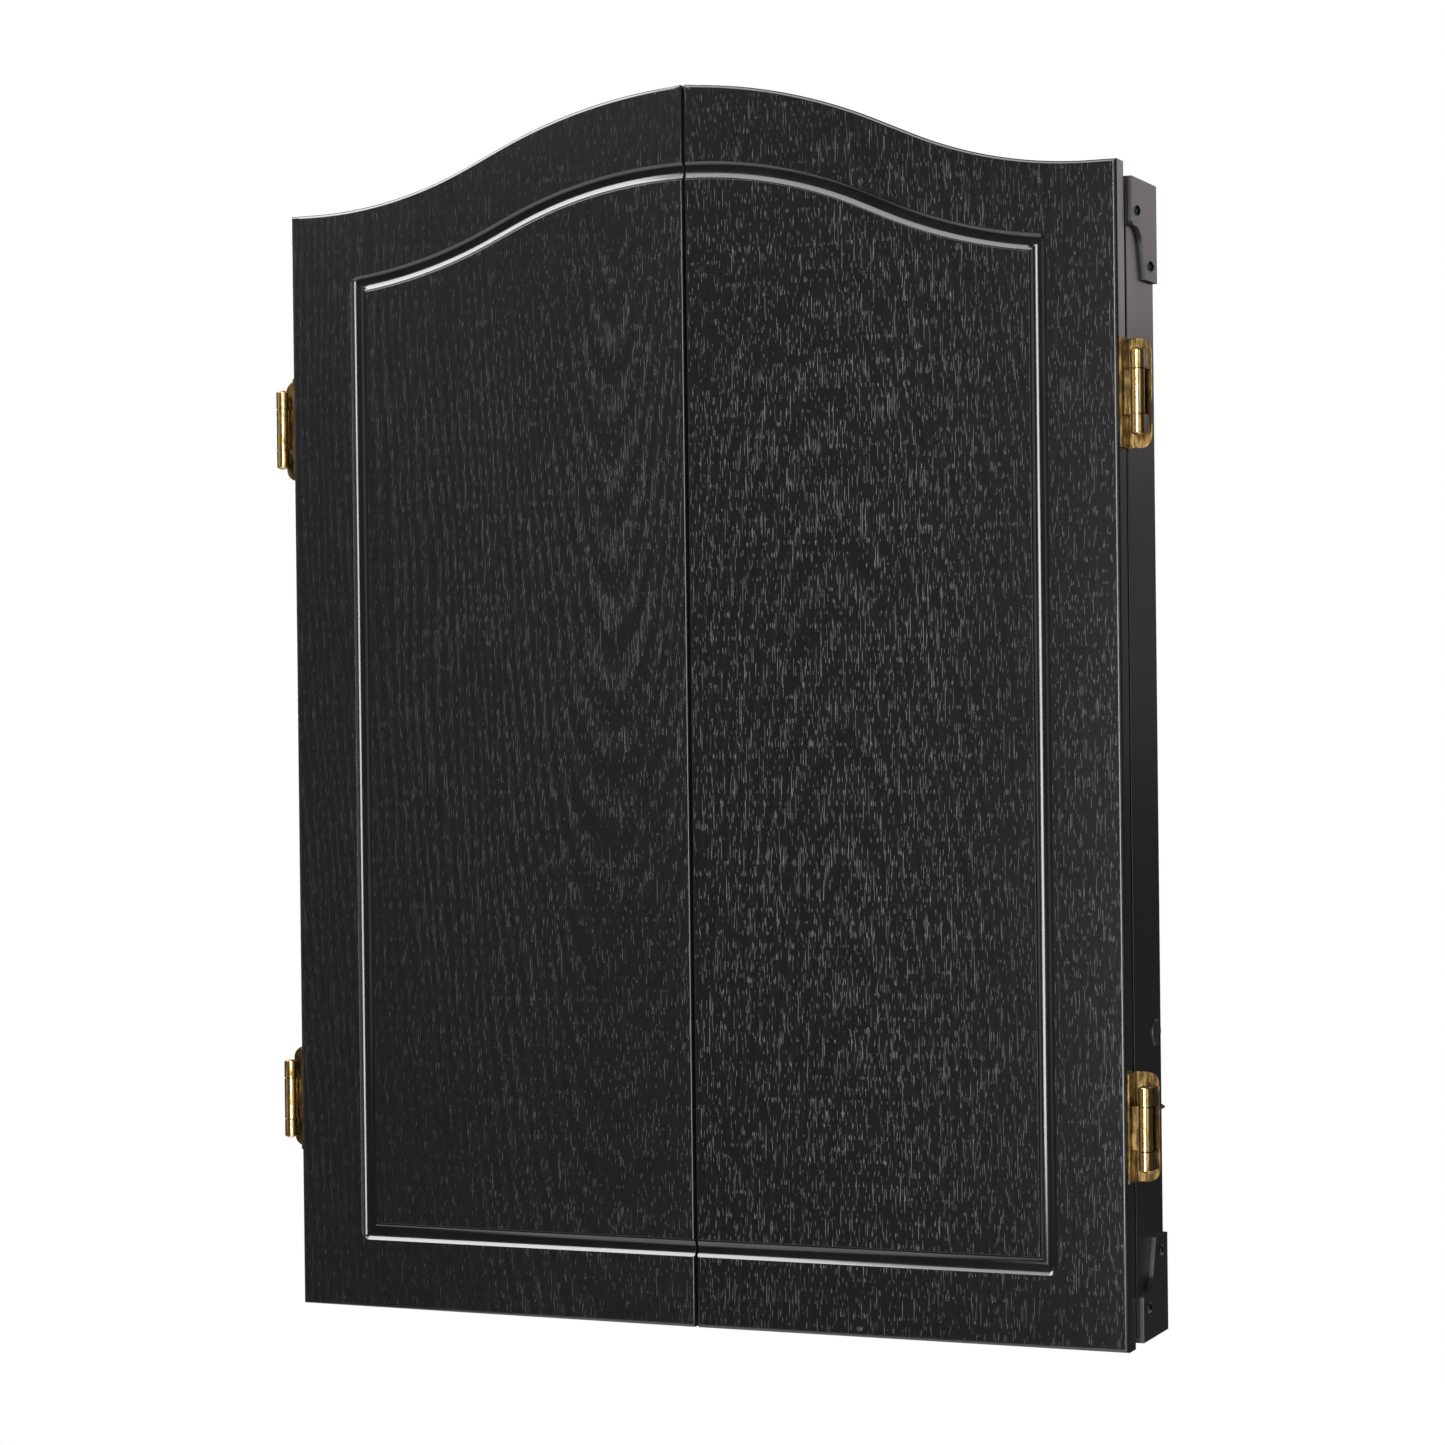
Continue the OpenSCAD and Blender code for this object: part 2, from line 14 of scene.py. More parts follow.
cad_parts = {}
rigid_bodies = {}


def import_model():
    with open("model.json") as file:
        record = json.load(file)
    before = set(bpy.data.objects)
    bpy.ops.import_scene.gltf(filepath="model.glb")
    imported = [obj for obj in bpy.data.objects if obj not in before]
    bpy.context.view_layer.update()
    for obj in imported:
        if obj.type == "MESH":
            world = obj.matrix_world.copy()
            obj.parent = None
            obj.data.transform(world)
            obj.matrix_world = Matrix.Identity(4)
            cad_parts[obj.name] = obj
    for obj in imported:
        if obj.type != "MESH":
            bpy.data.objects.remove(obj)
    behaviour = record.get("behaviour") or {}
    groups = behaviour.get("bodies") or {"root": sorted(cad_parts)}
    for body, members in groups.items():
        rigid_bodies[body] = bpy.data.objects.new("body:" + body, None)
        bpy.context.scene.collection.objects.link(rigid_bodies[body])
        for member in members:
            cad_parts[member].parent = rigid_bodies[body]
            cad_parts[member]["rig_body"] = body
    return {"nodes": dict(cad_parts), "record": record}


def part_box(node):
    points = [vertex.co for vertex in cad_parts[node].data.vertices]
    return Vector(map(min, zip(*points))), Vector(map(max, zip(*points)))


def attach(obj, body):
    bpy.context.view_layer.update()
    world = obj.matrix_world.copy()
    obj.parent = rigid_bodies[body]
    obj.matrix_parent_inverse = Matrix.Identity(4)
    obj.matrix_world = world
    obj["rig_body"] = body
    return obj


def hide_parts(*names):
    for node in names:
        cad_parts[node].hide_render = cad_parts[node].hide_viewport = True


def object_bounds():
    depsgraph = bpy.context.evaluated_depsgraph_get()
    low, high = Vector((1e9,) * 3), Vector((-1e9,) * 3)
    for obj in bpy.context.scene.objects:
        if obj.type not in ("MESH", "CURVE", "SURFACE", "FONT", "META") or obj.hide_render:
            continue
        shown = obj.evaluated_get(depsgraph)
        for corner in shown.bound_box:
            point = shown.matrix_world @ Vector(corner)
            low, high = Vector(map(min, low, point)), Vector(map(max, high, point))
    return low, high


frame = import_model()
CAD_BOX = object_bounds()

LOG = logging.getLogger("cabinet")
MM = 0.001
CAD_WELD = 2e-6
"""Corners of a CAD node that are closer than this, in metres, are one."""
WELD = 1e-6
"""The same for a new mesh."""
NEAR = 1e-5
"""How near, in metres, counts as in the same plane."""
SIDES = ("left", "right")
LEVELS = ("upper", "lower")
CORNERS = tuple(f"{level}_{side}" for level in LEVELS for side in SIDES)

Colour = tuple[float, float, float]
Point = tuple[float, float, float]


# ---- hands-on helpers ------------------------------------------------------


class Part(Enum):
    """What an edit-mode selection picks."""

    EDGES = (False, True, False)
    FACES = (False, False, True)


def hold(piece: bpy.types.Object) -> None:
    """Deselects everything, then selects one piece and makes it active.

    Args:
        piece: The object that the next operators act on.
    """
    if bpy.context.object and bpy.context.object.mode != "OBJECT":
        bpy.ops.object.mode_set(mode="OBJECT")
    bpy.ops.object.select_all(action="DESELECT")
    piece.select_set(True)
    bpy.context.view_layer.objects.active = piece


def open_up(piece: bpy.types.Object) -> None:
    """Opens one piece in edit mode, with all of it selected."""
    hold(piece)
    bpy.ops.object.mode_set(mode="EDIT")
    bpy.ops.mesh.select_all(action="SELECT")


def close_up() -> None:
    """Leaves edit mode."""
    bpy.ops.object.mode_set(mode="OBJECT")


def face_outwards() -> None:
    """Turns all faces of the piece in edit mode outwards."""
    bpy.ops.mesh.select_all(action="SELECT")
    bpy.ops.mesh.normals_make_consistent(inside=False)


def add(primitive: Callable[..., object], **settings: object) -> bpy.types.Object:
    """Deselects everything and adds a primitive.

    Args:
        primitive: The operator that adds it.
        **settings: The operator's own settings.

    Returns:
        The new object.
    """
    bpy.ops.object.select_all(action="DESELECT")
    primitive(**settings)
    return bpy.context.object


def pick(piece: bpy.types.Object, part: Part, test: Callable[..., bool]) -> None:
    """Selects the edges or faces of a piece in edit mode that pass a test, and nothing else.

    Args:
        piece: The object, which must be in edit mode.
        part: Whether edges or faces are picked.
        test: Takes an edge's two ends, or a face's centre and normal.
    """
    bpy.context.tool_settings.mesh_select_mode = part.value
    bpy.ops.mesh.select_all(action="DESELECT")
    mesh = bmesh.from_edit_mesh(piece.data)
    for item in mesh.edges if part is Part.EDGES else mesh.faces:
        if part is Part.EDGES:
            chosen = test(item.verts[0].co, item.verts[1].co)
        else:
            chosen = test(item.calc_center_median(), item.normal)
        if chosen:
            item.select_set(True)
    mesh.select_flush_mode()
    bmesh.update_edit_mesh(piece.data)


def apply_modifier(piece: bpy.types.Object, kind: str, **settings: object) -> None:
    """Adds one modifier to a piece, sets it and applies it.

    Args:
        piece: The object that is changed.
        kind: The modifier's type.
        **settings: The modifier's own settings.
    """
    hold(piece)
    modifier = piece.modifiers.new(kind.title(), kind)
    for key, value in settings.items():
        setattr(modifier, key, value)
    bpy.ops.object.modifier_apply(modifier=modifier.name)


def ease_edges(piece: bpy.types.Object, width: float, segments: int = 2, angle: float = 35) -> None:
    """Rounds every sharp edge of a piece a little.

    Args:
        piece: The object that is changed.
        width: Width of the rounding in metres.
        segments: How many facets the rounding has.
        angle: Sharpest angle between two faces, in degrees, that stays as it is.
    """
    apply_modifier(piece, "BEVEL", limit_method="ANGLE", angle_limit=math.radians(angle),
                   width=width, segments=segments, use_clamp_overlap=True)


def smooth(piece: bpy.types.Object, angle: float = 35) -> None:
    """Shades a piece smoothly and keeps its flat faces flat.

    Args:
        piece: The object that is changed.
        angle: Edges sharper than this, in degrees, stay sharp.
    """
    hold(piece)
    bpy.ops.object.shade_smooth_by_angle(angle=math.radians(angle))
    apply_modifier(piece, "WEIGHTED_NORMAL", keep_sharp=True, weight=80)


def copy_mesh(source: bpy.types.Object, name: str) -> bpy.types.Object:
    """Copies an object with a mesh of its own, free of parents and marks.

    Args:
        source: The object to copy.
        name: Name of the copy.

    Returns:
        The copy, at the origin.
    """
    piece = bpy.data.objects.new(name, source.data.copy())
    bpy.context.scene.collection.objects.link(piece)
    return piece


def merged_copy(node: str, name: str) -> bpy.types.Object:
    """Copies a CAD node and joins its loose triangles into clean flat faces.

    Args:
        node: Name of the CAD node.
        name: Name of the copy.

    Returns:
        The copy, with the node's shape.
    """
    piece = copy_mesh(frame["nodes"][node], name)
    open_up(piece)
    bpy.ops.mesh.remove_doubles(threshold=CAD_WELD)
    bpy.ops.mesh.customdata_custom_splitnormals_clear()
    bpy.ops.mesh.dissolve_limited(angle_limit=math.radians(0.4), delimit=set())
    close_up()
    return piece


def join(pieces: Sequence[bpy.types.Object], name: str) -> bpy.types.Object:
    """Joins several meshes into one piece.

    Args:
        pieces: The objects, the first of which is kept.
        name: Name of the joined piece.

    Returns:
        The joined piece.
    """
    hold(pieces[0])
    for piece in pieces:
        piece.select_set(True)
    bpy.ops.object.join()
    pieces[0].name = name
    return pieces[0]


def discard(piece: bpy.types.Object) -> None:
    """Removes a helper object and its mesh."""
    mesh = piece.data
    bpy.data.objects.remove(piece)
    bpy.data.meshes.remove(mesh)


def carve(piece: bpy.types.Object, cutter: bpy.types.Object) -> None:
    """Cuts one object's shape out of another and throws the cutter away."""
    apply_modifier(piece, "BOOLEAN", operation="DIFFERENCE", solver="EXACT", object=cutter)
    discard(cutter)


def body_of(node: str) -> str:
    """Name of the body that a CAD node rides on."""
    return frame["nodes"][node]["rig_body"]


def slot_of(node: str) -> str:
    """Name of a CAD node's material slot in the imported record."""
    return SLOTS[node]


SLOTS = {row["node"]: row["material_slot"] for row in frame["record"]["subparts"]}


# ---- shader wiring ---------------------------------------------------------


class Recipe:
    """A material whose node tree is wired step by step round one Principled shader."""

    def __init__(self, name: str, roughness: float, metallic: float = 0.0,
                 specular: float = 0.5) -> None:
        """Starts a material with the values that are the same all over the surface.

        Args:
            name: Name of the material.
            roughness: Base roughness, where no pattern drives it.
            metallic: 1 for bare metal and 0 for everything else.
            specular: Specular level of the shader.
        """
        self.material = bpy.data.materials.new(name)
        self.material.use_nodes = True
        self.tree = self.material.node_tree
        self.shader = self.tree.nodes["Principled BSDF"]
        self.shader.inputs["Roughness"].default_value = roughness
        self.shader.inputs["Metallic"].default_value = metallic
        self.shader.inputs["Specular IOR Level"].default_value = specular
        self.place = self.tree.nodes.new("ShaderNodeTexCoord").outputs["Object"]

    def wire(self, value: object, socket: bpy.types.NodeSocket) -> None:
        """Links a socket's output, or sets a plain value, on an input."""
        if isinstance(value, bpy.types.NodeSocket):
            self.tree.links.new(value, socket)
        else:
            socket.default_value = value

    def sum(self, kind: str, *values: object) -> bpy.types.NodeSocket:
        """Adds a Math node.

        Args:
            kind: The node's operation.
            *values: One value or socket for each of its inputs.

        Returns:
            The node's output.
        """
        node = self.tree.nodes.new("ShaderNodeMath")
        node.operation = kind
        for value, socket in zip(values, node.inputs):
            self.wire(value, socket)
        return node.outputs[0]

    def axes(self, vector: bpy.types.NodeSocket) -> list[bpy.types.NodeSocket]:
        """Splits a vector into its X, Y and Z."""
        node = self.tree.nodes.new("ShaderNodeSeparateXYZ")
        self.wire(vector, node.inputs[0])
        return list(node.outputs)

    def stretched(self, scale: Point, shift: Point = (0, 0, 0),
                  turn: Point = (0, 0, 0)) -> bpy.types.NodeSocket:
        """Object coordinates, moved, turned and stretched for a texture.

        Args:
            scale: Scale along each axis.
            shift: Shift along each axis, after scaling.
            turn: Turn about each axis in radians.

        Returns:
            The mapped coordinates.
        """
        node = self.tree.nodes.new("ShaderNodeMapping")
        self.wire(self.place, node.inputs["Vector"])
        node.inputs["Scale"].default_value = scale
        node.inputs["Location"].default_value = shift
        node.inputs["Rotation"].default_value = turn
        return node.outputs[0]

    def noise(self, vector: bpy.types.NodeSocket, scale: float, detail: float,
              roughness: float = 0.5) -> bpy.types.NodeSocket:
        """Adds a Noise texture and returns its value from 0 to 1."""
        node = self.tree.nodes.new("ShaderNodeTexNoise")
        self.wire(vector, node.inputs["Vector"])
        node.inputs["Scale"].default_value = scale
        node.inputs["Detail"].default_value = detail
        node.inputs["Roughness"].default_value = roughness
        return node.outputs[0]

    def between(self, value: bpy.types.NodeSocket, low: float, high: float,
                to_low: float = 0.0, to_high: float = 1.0) -> bpy.types.NodeSocket:
        """Maps a value from one range to another with a smooth, clamped step.

        Args:
            value: The value that is mapped.
            low: Start of the range.
            high: End of the range.
            to_low: Result at low.
            to_high: Result at high.

        Returns:
            The mapped value.
        """
        node = self.tree.nodes.new("ShaderNodeMapRange")
        node.interpolation_type = "SMOOTHSTEP"
        for socket, amount in zip(node.inputs[:5], (value, low, high, to_low, to_high)):
            self.wire(amount, socket)
        return node.outputs[0]

    def blend(self, amount: object, low: object, high: object) -> bpy.types.NodeSocket:
        """Mixes two colours.

        Args:
            amount: Share of the second colour.
            low: First colour or socket.
            high: Second colour or socket.

        Returns:
            The mixed colour.
        """
        node = self.tree.nodes.new("ShaderNodeMix")
        node.data_type = "RGBA"
        self.wire(amount, node.inputs[0])
        for value, socket in ((low, node.inputs[6]), (high, node.inputs[7])):
            self.wire((*value, 1.0) if isinstance(value, tuple) else value, socket)
        return node.outputs[2]

    def relief(self, height: bpy.types.NodeSocket, depth: float, strength: float) -> None:
        """Raises the surface by a height pattern.

        Args:
            height: Pattern from 0 to 1.
            depth: Height of the pattern in metres.
            strength: How much of it shows.
        """
        node = self.tree.nodes.new("ShaderNodeBump")
        node.inputs["Strength"].default_value = strength
        node.inputs["Distance"].default_value = depth
        self.wire(height, node.inputs["Height"])
        self.wire(node.outputs[0], self.shader.inputs["Normal"])

    def dress(self, colour: bpy.types.NodeSocket,
              roughness: bpy.types.NodeSocket | None = None) -> bpy.types.Material:
        """Links the finished colour and roughness patterns to the shader.

        Args:
            colour: Socket of the colour pattern.
            roughness: Socket of the roughness pattern; the base roughness if none is given.

        Returns:
            The finished material.
        """
        self.wire(colour, self.shader.inputs["Base Color"])
        if roughness is not None:
            self.wire(roughness, self.shader.inputs["Roughness"])
        return self.material


# ---- finishes --------------------------------------------------------------


def grey(level: float) -> Colour:
    """A neutral colour of one brightness."""
    return (level, level, level)


@dataclass(frozen=True)
class Veneer:
    """Black-stained open-grain veneer: growth rings round a tilted heart, and upright pores with
    painted glints.
    """

    name: str
    heart: tuple[float, float]
    """X and Z of the point that the ring figure closes round."""
    figure: float
    """How strongly the rings show."""
    pore_glint: float
    # Brightness of the pores' painted glints.
    """Brightness of the pores."""
    pore_from: float
    """Noise level where pores begin: lower is denser."""
    ring_pull: float
    """How much denser the pores are in a ring's early wood."""
    fade: tuple[float, float] = (1.0, 2.0)
    # Distance from the seam over which the pores and their painted glints fade.
    """Distance from the seam over which the pores fade."""
    faded: float = 0.42
    # Share of the pores, and of their painted glints, that is left beyond the fade.
    """Share of the pores' brightness that is left beyond the fade."""
    lean: float = 0.13
    """How much shorter the rings look along the grain than across it."""
    ring: float = 0.0050
    """Distance between two rings across the grain."""
    sway: float = 0.055
    """How far, in metres, the rings drift sideways."""
    wander: float = 6.5
    """How far, in radians, a ring strays from its even course."""
    short_pores: Point = (2500, 2500, 150)
    """Short pores to a metre along each axis."""
    long_pores: Point = (2100, 2100, 48)
    """Long pores to a metre along each axis."""
    dark: Colour = (0.0044, 0.0044, 0.0046)
    light: Colour = (0.0078, 0.0080, 0.0090)

    def mix(self) -> bpy.types.Material:
        """Builds the material."""
        r = Recipe(self.name, roughness=0.2, specular=0.5)
        x, _, z = r.axes(r.place)
        drift = r.noise(r.stretched((9, 9, 1.7)), 1.0, 3.0)
        across = r.sum("ADD", r.sum("SUBTRACT", x, self.heart[0]),
                       r.sum("MULTIPLY", r.sum("SUBTRACT", drift, 0.5), self.sway))
        along = r.sum("MULTIPLY", r.sum("SUBTRACT", z, self.heart[1]), self.lean)
        reach = r.sum("SQRT", r.sum("ADD", r.sum("MULTIPLY", across, across),
                                    r.sum("MULTIPLY", along, along)))
        wander = r.noise(r.stretched((48, 48, 9)), 1.0, 4.0, 0.62)
        phase = r.sum("ADD", r.sum("MULTIPLY", reach, 2 * math.pi / self.ring),
                      r.sum("MULTIPLY", wander, self.wander))
        ring = r.between(r.sum("SINE", phase), -0.75, 0.9)
        cloud = r.noise(r.stretched((7, 7, 2.2), shift=(3, 1, 5)), 1.0, 2.0)
        patch = r.between(cloud, 0.36, 0.62)
        early = r.sum("MULTIPLY", ring, r.sum("ADD", r.sum("MULTIPLY", patch, 0.75), 0.25))
        fine = r.noise(r.stretched((1300, 1300, 40)), 1.0, 2.0, 0.6)
        short = r.noise(r.stretched(self.short_pores, shift=(7, 3, 1)), 1.0, 0.0)
        long = r.noise(r.stretched(self.long_pores, shift=(2, 9, 4)), 1.0, 0.0)
        start = r.sum("SUBTRACT", self.pore_from + self.ring_pull / 2,
                      r.sum("MULTIPLY", early, self.ring_pull))
        dashes = r.sum("MAXIMUM", r.between(r.sum("SUBTRACT", short, start), 0.0, 0.07),
                       r.between(r.sum("SUBTRACT", long, start), 0.03, 0.12))
        distance = r.sum("ABSOLUTE", x)
        near = r.between(distance, self.fade[0], self.fade[1], 1.0, self.faded)
        dashes = r.sum("MULTIPLY", dashes, near)
        tone = r.sum("ADD", r.sum("MULTIPLY", early, self.figure),
                     r.sum("MULTIPLY", r.between(fine, 0.35, 0.7), 0.28))
        ground = r.blend(tone, self.dark, self.light)
        # The pores' lighter colour is a painted glint, not a colour of the wood.
        lamp = self.pore_glint
        colour = r.blend(dashes, ground, (lamp, lamp, lamp * 1.04))
        sheen = r.sum("ADD", 0.150, r.sum("MULTIPLY", fine, 0.06))
        height = r.sum("ADD", r.sum("MULTIPLY", dashes, -1.0), r.sum("MULTIPLY", fine, 0.25))
        r.relief(height, 0.00005, 0.5)
        return r.dress(colour, sheen)


@dataclass(frozen=True)
class Paint:
    """Satin paint, powder coat or moulded plastic with a fine skin."""

    name: str
    colour: Colour
    worn: Colour
    """Colour of the faint lighter patches."""
    roughness: float
    grain: float = 900.0
    """Fineness of the skin: blobs per metre."""
    depth: float = 0.00005
    """Height of the skin in metres."""
    specular: float = 0.5

    def mix(self) -> bpy.types.Material:
        """Builds the material."""
        r = Recipe(self.name, roughness=self.roughness, specular=self.specular)
        skin = r.noise(r.stretched((1, 1, 1)), self.grain, 3.0, 0.55)
        cloud = r.noise(r.stretched((1, 1, 0.6)), 24.0, 4.0, 0.6)
        colour = r.blend(r.between(cloud, 0.35, 0.75), self.colour, self.worn)
        gloss = r.sum("ADD", self.roughness - 0.05, r.sum("MULTIPLY", cloud, 0.10))
        r.relief(skin, self.depth, 0.5)
        return r.dress(colour, gloss)


@dataclass(frozen=True)
class AntiqueBrass:
    """Plated brass with dark patina in streaks and blots."""

    name: str
    bright: Colour = (0.60, 0.41, 0.17)
    patina: Colour = (0.11, 0.064, 0.024)
    cover: float = 0.44
    """Noise level where patina gives way to bright metal: higher is darker."""
    roughness: float = 0.22
    """Roughness of the bright metal."""
    dulling: float = 0.16
    """How much rougher the patina is."""
    soft: float = 0.09
    """Half the noise range over which the one turns into the other."""

    def mix(self) -> bpy.types.Material:
        """Builds the material."""
        r = Recipe(self.name, roughness=self.roughness, metallic=1.0)
        blots = r.noise(r.stretched((420, 420, 110)), 1.0, 4.0, 0.6)
        streaks = r.noise(r.stretched((1500, 1500, 90), shift=(1, 2, 3)), 1.0, 3.0, 0.6)
        wear = r.sum("ADD", r.sum("MULTIPLY", blots, 0.65), r.sum("MULTIPLY", streaks, 0.35))
        bare = r.between(wear, self.cover - self.soft, self.cover + self.soft)
        colour = r.blend(bare, self.patina, self.bright)
        gloss = r.sum("SUBTRACT", self.roughness + self.dulling,
                      r.sum("MULTIPLY", bare, self.dulling))
        r.relief(wear, 0.00004, 0.4)
        return r.dress(colour, gloss)


@dataclass(frozen=True)
class Plating:
    """Plain plated steel with fine brushing and a few dull spots."""

    name: str
    colour: Colour
    dull: Colour
    roughness: float

    def mix(self) -> bpy.types.Material:
        """Builds the material."""
        r = Recipe(self.name, roughness=self.roughness, metallic=1.0)
        brush = r.noise(r.stretched((2400, 2400, 160)), 1.0, 3.0, 0.6)
        spots = r.noise(r.stretched((1, 1, 1)), 240.0, 4.0, 0.6)
        colour = r.blend(r.between(spots, 0.45, 0.72), self.colour, self.dull)
        gloss = r.sum("ADD", self.roughness - 0.06, r.sum("MULTIPLY", brush, 0.14))
        r.relief(brush, 0.00003, 0.4)
        return r.dress(colour, gloss)


@dataclass(frozen=True)
class Plywood:
    """Thin plywood panel with wide, cloudy rings and short pores, stained dark."""

    name: str
    dark: Colour
    light: Colour

    def mix(self) -> bpy.types.Material:
        """Builds the material."""
        r = Recipe(self.name, roughness=0.62, specular=0.35)
        drift = r.noise(r.stretched((5, 5, 0.9)), 1.0, 3.0)
        rings = r.sum("SINE", r.sum("MULTIPLY", drift, 90.0))
        fibre = r.noise(r.stretched((900, 900, 22)), 1.0, 3.0, 0.6)
        tone = r.sum("ADD", r.sum("MULTIPLY", r.between(rings, -1.0, 1.0), 0.45),
                     r.sum("MULTIPLY", r.between(fibre, 0.3, 0.7), 0.55))
        r.relief(fibre, 0.0001, 0.5)
        return r.dress(r.blend(tone, self.dark, self.light))


@dataclass(frozen=True)
class Slate:
    """Matt writing surface with faint dusty wipes and thin ruled columns."""

    name: str
    colour: Colour
    dust: Colour
    columns: tuple[float, ...]
    """Distances of the ruled lines from the seam, in metres."""
    rows_from: float
    """Height of one of the ruled rows."""
    row_pitch: float
    rule: float = 0.0008
    """Width of a ruled line."""
    chalk: Colour = (0.32, 0.33, 0.33)

    def mix(self) -> bpy.types.Material:
        """Builds the material."""
        r = Recipe(self.name, roughness=0.72, specular=0.3)
        x, _, z = r.axes(r.place)
        wipe = r.noise(r.stretched((12, 12, 30), turn=(0, 0.35, 0)), 1.0, 5.0, 0.65)
        colour = r.blend(r.between(wipe, 0.42, 0.8, 0.0, 0.5), self.colour, self.dust)
        side = r.sum("ABSOLUTE", x)
        lines = None
        for column in self.columns:
            gap = r.sum("ABSOLUTE", r.sum("SUBTRACT", side, column))
            line = r.sum("LESS_THAN", gap, self.rule / 2)
            lines = line if lines is None else r.sum("MAXIMUM", lines, line)
        row = r.sum("PINGPONG", r.sum("SUBTRACT", z, self.rows_from), self.row_pitch / 2)
        lines = r.sum("MAXIMUM", lines, r.sum("LESS_THAN", row, self.rule / 2))
        r.relief(r.noise(r.stretched((1, 1, 1)), 1400.0, 2.0), 0.00004, 0.5)
        return r.dress(r.blend(r.sum("MULTIPLY", lines, 0.7), colour, self.chalk))


def mix_finishes() -> dict[str, bpy.types.Material]:
    """Builds every finish of the cabinet.

    Returns:
        The materials by the record's slot names, plus those of the two doors' faces.
    """
    finishes = {
        "black_veneer_left": Veneer("ash_left", heart=(-0.047, 0.42), figure=0.50,
                                    pore_glint=0.017, pore_from=0.665, ring_pull=0.08),
        "black_veneer_right": Veneer("ash_right", heart=(0.095, -0.46), figure=0.35,
                                     pore_glint=0.042, pore_from=0.680, ring_pull=0.04,
                                     fade=(0.10, 0.21),
                                     dark=(0.0034, 0.0034, 0.0035), light=(0.0064, 0.0065, 0.0070)),
        "black_veneer": Paint("door_edge_lacquer", (0.0055, 0.0055, 0.0058),
                              (0.008, 0.008, 0.0084), 0.25),
        "groove_lacquer": Paint("groove_lacquer", (0.0035, 0.0035, 0.0036),
                                (0.005, 0.005, 0.0052), 0.15, depth=0.000004),
        "black_paint": Paint("satin_black", (0.0060, 0.0056, 0.0053),
                             (0.0085, 0.0079, 0.0074), 0.30),
        "black_trim": Paint("trim_black", grey(0.013), grey(0.020), 0.34),
        "black_steel": Paint("bracket_coat", (0.010, 0.010, 0.0105), (0.017, 0.017, 0.018),
                             0.33, 1600.0, 0.00004),
        "black_screws": Plating("black_oxide", (0.060, 0.060, 0.063), grey(0.028), 0.30),
        "cap_plastic": Paint("cap_plastic", (0.022, 0.022, 0.023), (0.034, 0.034, 0.035),
                             0.36, 1200.0),
        "catch_plastic": Paint("catch_plastic", grey(0.014), grey(0.022), 0.45, 2000.0),
        "bumper_rubber": Paint("bumper_rubber", grey(0.020), grey(0.030), 0.70, 2200.0,
                               0.00006, 0.3),
        "zinc_steel": Plating("zinc_sheet", (0.56, 0.57, 0.58), (0.36, 0.37, 0.38), 0.36),
        "zinc_screws": Plating("zinc_screws", (0.60, 0.61, 0.62), (0.40, 0.41, 0.42), 0.28),
        "pole_steel": Plating("pole_steel", (0.42, 0.43, 0.44), (0.28, 0.28, 0.29), 0.40),
        "antique_brass": AntiqueBrass("antique_brass"),
        "brass_pins": AntiqueBrass("brass_pins", cover=0.46),
        "brass_screws": AntiqueBrass("brass_screws", cover=0.56),
        "back_plywood": Plywood("stained_plywood", (0.030, 0.021, 0.015), (0.080, 0.056, 0.038)),
        # leaf_bronze is a darker copy of the antique brass: its darkness is partly patina and
        # partly painted shade on the hinge leaves.
        "leaf_bronze": AntiqueBrass("leaf_bronze", (0.27, 0.175, 0.062), (0.050, 0.031, 0.012),
                                    cover=0.53, roughness=0.28),
        "score_surface": Slate("slate_board", (0.012, 0.013, 0.013), (0.045, 0.047, 0.047),
                               columns=(0.085, 0.124, 0.163), rows_from=-0.110,
                               row_pitch=0.0382),
    }
    return {slot: finish.mix() for slot, finish in finishes.items()}


# ---- fitting pieces to the frame ------------------------------------------


@dataclass
class Workshop:
    """Knows the finishes, and hands each finished piece over to the frame."""

    finishes: dict[str, bpy.types.Material]

    def paint(self, piece: bpy.types.Object, *names: str) -> None:
        """Gives a piece its finishes in the order of its material indices."""
        piece.data.materials.clear()
        for name in names:
            piece.data.materials.append(self.finishes[name])

    def hand_over(self, piece: bpy.types.Object, node: str, *names: str) -> bpy.types.Object:
        """Lets a piece stand for a CAD node: same body, same slot, its own finish.

        Args:
            piece: The finished piece.
            node: The CAD node that it replaces.
            *names: Its finishes; the node's slot if none is given.

        Returns:
            The piece.
        """
        slot = slot_of(node)
        if names or not piece.data.materials:
            self.paint(piece, *(names or (slot,)))
        self.paint(frame["nodes"][node], slot)
        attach(piece, body_of(node))
        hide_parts(node)
        LOG.info("%s stands for %s with %d faces", piece.name, node, len(piece.data.polygons))
        return piece

    def refine(self, node: str, name: str, edge: float, *names: str, segments: int = 2,
               angle: float = 35) -> bpy.types.Object:
        """Copies a CAD node, eases its edges and hands it over.

        Args:
            node: The CAD node.
            name: Name of the new piece.
            edge: Width of the eased edges in metres.
            *names: Its finishes; the node's slot if none is given.
            segments: How many facets each eased edge has.
            angle: Sharpest angle, in degrees, that stays as it is.

        Returns:
            The new piece.
        """
        piece = merged_copy(node, name)
        piece.data.materials.clear()
        ease_edges(piece, edge, segments, angle)
        smooth(piece)
        return self.hand_over(piece, node, *names)


# ---- screws ----------------------------------------------------------------


class Head(Enum):
    """Shape of a screw's head."""

    ROUND = "round"
    FLAT = "flat"


